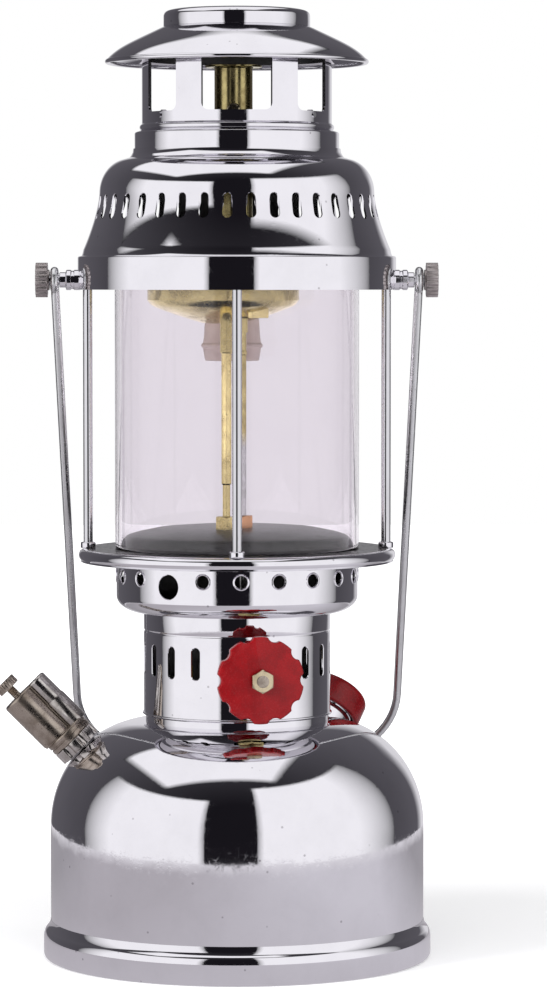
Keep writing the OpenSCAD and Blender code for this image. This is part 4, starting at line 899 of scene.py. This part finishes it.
def window_punch(width, low, high, corner):
    """A punch for a window that faces the front, with round lower corners."""
    edge = [(width / 2, high), (-width / 2, high)]
    edge += bow(-width / 2 + corner, low + corner, corner, corner, 180, 270, 6)
    edge += bow(width / 2 - corner, low + corner, corner, corner, 270, 360, 6)
    points = [(x * mm, -26 * mm, z * mm) for x, z in edge]
    punch = start_point("window_punch", points[0])
    draw_outline(points + points[:1])
    bpy.ops.mesh.select_all(action="SELECT")
    bpy.ops.mesh.remove_doubles(threshold=0.002 * mm)
    bpy.ops.mesh.edge_face_add()
    bpy.ops.mesh.extrude_region_move(TRANSFORM_OT_translate={"value": (0, -20 * mm, 0)})
    bpy.ops.mesh.select_all(action="SELECT")
    bpy.ops.mesh.normals_make_consistent(inside=False)
    bpy.ops.object.mode_set(mode="OBJECT")
    return punch


windows = []
for width, angles in ((29.24, (0, 180)), (19.6, (53.25, -53.25, 126.75, 233.25))):
    punch = window_punch(width, 356, 378, 3)
    for angle in angles:
        windows.append(place(copy_of(punch, "window_cut"), turn=(0, 0, angle)))
    bpy.data.objects.remove(punch)
for window in windows:
    cut_away(chimney, window)
fasten(soften(chimney), chrome, "hood", "chrome_sheet", "hood_chimney")
line_inside(chimney, sheet_inside)
dress(chrome, "hood_screws")

# ---- Brim and cap -----------------------------------------------------------------------
# The umbrella brim is spun chromed sheet with a rolled edge, and a flat cap closes it. Both
# are seamed together and riveted on the chimney's wall.
brim_in, brim_r, brim_z, brim_rise = 29.8, 55, 375.8, 16.2


def brim_height(r):
    share = max(0, (r - brim_in - 1.2) / (brim_r - brim_in - 1.2))
    return brim_z + brim_rise - 14.1 * (0.8 * share + 0.2 * share ** 6)


brim_top = [(brim_in + 1 + (brim_r - brim_in - 1) * sin(radians(90 * i / 24)), 0) for i in range(25)]
brim_top = [(r, brim_height(r)) for r, _ in brim_top]
edge_z = brim_height(brim_r)
under = [(r - 0.4, z - 0.8) for r, z in reversed(brim_top)]
brim = spin_up("hood_brim_sheet", brim_top + under + brim_top[:1], 256)
roll = spin_up("brim_roll", bow(brim_r - 0.6, edge_z - 0.4, 1, 1, 0, 360, 16), 256)
brim = join_all("hood_brim_sheet", [brim, roll])
fasten(soften(brim), chrome, "hood", "chrome_sheet", "hood_brim")
cap_r, cap_z, cap_top = 30.8, 392, 400
cap_outline = [(cap_r - 0.8, cap_z), (cap_r - 0.1, cap_z), (cap_r, cap_z + 0.2), (cap_r, 395.8)]
cap_outline += bow(28.4, 396.4, 2.4, 2.4, 0, 80, 10) + [(27.6, 399.1), (20, 399.65), (10, 399.92), (0, cap_top)]
cap_outline += [(0, 399.2), (20, 398.85), (28.4, 397.3), (30, 395.6), (cap_r - 0.8, cap_z)]
cap = spin_up("hood_cap_sheet", cap_outline, 192)
fasten(soften(cap), chrome, "hood", "chrome_sheet", "hood_cap")

# ---- Floor and studio -------------------------------------------------------------------
# A white sheet lies under the lantern. Three softboxes stand close to it, left, right and
# above, in a dark room whose back is paler, as the chrome shows. They glow for the chrome
# alone, and soft lamps light the coloured pieces and the floor.
clear_selection()
bpy.ops.mesh.primitive_plane_add(size=6)
floor = place_as_is(bpy.context.object)
floor.name = floor.data.name = "floor_sheet"
floor_white, tree, shader, coords = new_material("floor_white")
shader.inputs["Base Color"].default_value = (0.80, 0.80, 0.81, 1)
shader.inputs["Roughness"].default_value = 0.9
shader.inputs["Emission Color"].default_value = (1, 1, 1, 1)
rays = tree.nodes.new("ShaderNodeLightPath")
seen = combine(tree, "MAXIMUM", rays.outputs["Is Camera Ray"], rays.outputs["Is Transmission Ray"])
far = tree.nodes.new("ShaderNodeTexGradient")
far.gradient_type = "SPHERICAL"
wire(tree, stretch(tree, coords, (1, 1, 1)), far.inputs["Vector"])
wire(tree, combine(tree, "MULTIPLY", seen, spread(tree, far.outputs["Fac"], 0.8, 0.1, 0.28, 1.0)),
     shader.inputs["Emission Strength"])
floor.data.materials.append(floor_white)
floor.visible_glossy = False



def hang(obj, name, colour_of):
    """Makes a panel of the studio glow for the chrome alone; colour_of gives its colour."""
    obj.name = obj.data.name = name
    material, tree, shader, coords = new_material(name + "_glow")
    tree.nodes.remove(shader)
    glow = tree.nodes.new("ShaderNodeEmission")
    wire(tree, colour_of(tree, coords), glow.inputs["Color"])
    wire(tree, glow.outputs["Emission"], tree.nodes["Material Output"].inputs["Surface"])
    obj.data.materials.append(material)
    for flag in ("visible_camera", "visible_diffuse", "visible_transmission", "visible_shadow"):
        setattr(obj, flag, False)


def axes_of(tree, coords):
    split = tree.nodes.new("ShaderNodeSeparateXYZ")
    wire(tree, coords, split.inputs["Vector"])
    return split.outputs["X"], split.outputs["Y"], split.outputs["Z"]


def azimuth(tree, coords):
    """Degrees about the lantern, from the front to the right."""
    x, y, _ = axes_of(tree, coords)
    return combine(tree, "MULTIPLY", combine(tree, "ARCTAN2", x, combine(tree, "MULTIPLY", y, -1)), 180 / pi)


def within(tree, value, low, high, soft_low, soft_high):
    rise = spread(tree, value, low, low + soft_low)
    return combine(tree, "MULTIPLY", rise, spread(tree, value, high, high - soft_high))


clear_selection()
bpy.ops.mesh.primitive_circle_add(vertices=96, radius=0.45, fill_type="NGON", location=(0, 0, 0.0002))


# A glowing disc on the floor, seen only in the chrome, stands in for the lit floor. Its colour is painted light: paler
# to the right and at its rim, darker towards the back.
def painted_floor_reflection_tone(tree, coords):
    x, y, _ = axes_of(tree, coords)
    reach = combine(tree, "SQRT", combine(tree, "ADD", combine(tree, "MULTIPLY", x, x),
                                          combine(tree, "MULTIPLY", y, y)), 0)
    patches = spread(tree, noise(tree, coords, 14, 3, 0.6), 0.3, 0.7, -0.012, 0.012)
    # Here this mask is no wear: it gives the disc its paler outer ring, painted light.
    wear_and_painted_rim = spread(tree, combine(tree, "ADD", reach, patches), 0.40, 0.45)
    lit = blend_colours(tree, spread(tree, x, -0.20, 0.25), (0.48, 0.455, 0.49, 1), (0.66, 0.64, 0.69, 1))
    lit = blend_colours(tree, spread(tree, y, -0.02, 0.22), lit, (0.36, 0.345, 0.37, 1))
    return blend_colours(tree, wear_and_painted_rim, lit, (0.78, 0.76, 0.80, 1))


hang(place_as_is(bpy.context.object), "painted_floor_reflection_disc", painted_floor_reflection_tone)

for name, reach, from_az, to_az, top in (("softbox_left", 0.80, -103, -19, 0.70),
                                         ("softbox_right", 0.45, 11, 104, 0.62)):
    outline = [(reach * sin(radians(from_az)), -reach * cos(radians(from_az)), z) for z in (-0.25, top)]
    wall = start_point(name, outline[0])
    draw_outline(outline)
    bpy.ops.mesh.select_all(action="SELECT")
    bpy.ops.mesh.spin(steps=24, angle=radians(to_az - from_az), axis=(0, 0, -1), center=(0, 0, 0))
    bpy.ops.object.mode_set(mode="OBJECT")

    def wall_tone(tree, coords, from_az=from_az, to_az=to_az, top=top):
        side = azimuth(tree, coords)
        if from_az < 0:
            mask = within(tree, side, from_az, to_az, 22, 4)
        else:
            mask = within(tree, side, from_az, to_az, 4, 30)
        mask = combine(tree, "MULTIPLY", combine(tree, "POWER", mask, 0.5),
                       spread(tree, axes_of(tree, coords)[2], top, top - 0.05))
        return blend_colours(tree, mask, (0.03, 0.03, 0.034, 1), (1.0, 0.99, 1.02, 1))

    hang(wall, name, wall_tone)

clear_selection()
bpy.ops.mesh.primitive_plane_add(size=1, location=(0, 0, 0))
overhead = bpy.context.object
overhead.scale = (1.10, 1.0, 1)
overhead.location = (-0.20, 0.0, 0.9)


def overhead_tone(tree, coords):
    x, y, _ = axes_of(tree, coords)
    mask = combine(tree, "MULTIPLY", within(tree, x, -0.75, 0.35, 0.10, 0.08), within(tree, y, -0.50, 0.50, 0.09, 0.09))
    return blend_colours(tree, mask, (0.03, 0.03, 0.034, 1), (1.0, 0.99, 1.02, 1))


hang(place_as_is(overhead), "softbox_above", overhead_tone)

clear_selection()
bpy.ops.mesh.primitive_uv_sphere_add(segments=64, ring_count=32, radius=3.0, location=(0, 0, 0))


def room_tone(tree, coords):
    x, y, z = axes_of(tree, coords)
    side = azimuth(tree, coords)
    deep = blend_colours(tree, spread(tree, y, -2.4, 2.6), (0.010, 0.009, 0.012, 1), (0.11, 0.105, 0.12, 1))
    rear = combine(tree, "MAXIMUM", spread(tree, side, 146, 158), spread(tree, side, -162, -174))
    rear = combine(tree, "MULTIPLY", rear, spread(tree, z, 1.2, 0.7))
    return blend_colours(tree, rear, deep, (0.72, 0.71, 0.74, 1))


hang(place_as_is(bpy.context.object), "studio_room", room_tone)

for name, spot, size, power in (("lamp_left", (-1.2, -1.0, 0.75), 0.6, 22), ("lamp_right", (1.2, -1.2, 1.0), 1.0, 9),
                                ("lamp_top", (0.0, -0.5, 1.7), 1.1, 14)):
    lamp_data = bpy.data.lights.new(name, "AREA")
    lamp_data.size, lamp_data.energy = size, power
    lamp = bpy.data.objects.new(name, lamp_data)
    bpy.context.scene.collection.objects.link(lamp)
    lamp.location = spot
    lamp.rotation_euler = (Vector((0, 0, 0.2)) - Vector(spot)).to_track_quat("-Z", "Y").to_euler()
    lamp.visible_camera = False
    lamp.visible_glossy = False
    lamp.visible_transmission = False

world = bpy.data.worlds.new("studio")
bpy.context.scene.world = world
world.use_nodes = True
tree = world.node_tree
back = tree.nodes["Background"]
back.inputs["Color"].default_value = (1, 1, 1, 1)
rays = tree.nodes.new("ShaderNodeLightPath")
seen = combine(tree, "MAXIMUM", rays.outputs["Is Camera Ray"], rays.outputs["Is Glossy Ray"])
seen = combine(tree, "MAXIMUM", seen, rays.outputs["Is Transmission Ray"])
wire(tree, spread(tree, seen, 0, 1, 0.35, 1.0), back.inputs["Strength"])

# ---- Camera -----------------------------------------------------------------------------
# The camera stands 1.7 m in front of the lantern at the height of its top ring, and looks
# down a little, as the photographer did.
focal_px = 4029
photo_w, photo_h = 547, 1000
horizon_px, axis_px = 280, 237
distance, eye_z = 1.7, 0.286
camera_data = bpy.data.cameras.new("camera")
camera = bpy.data.objects.new("camera", camera_data)
bpy.context.scene.collection.objects.link(camera)
camera_data.sensor_fit = "VERTICAL"
camera_data.angle = 2 * atan(photo_h / 2 / focal_px)
camera.location = (0, -distance, eye_z)
pitch = atan((photo_h / 2 - horizon_px) / focal_px)
pan_right = atan((photo_w / 2 - axis_px) / focal_px)
camera.rotation_euler = (pi / 2 - pitch, 0, -pan_right)
bpy.context.scene.camera = camera
bpy.context.scene.view_settings.view_transform = "Standard"

bpy.context.view_layer.update()
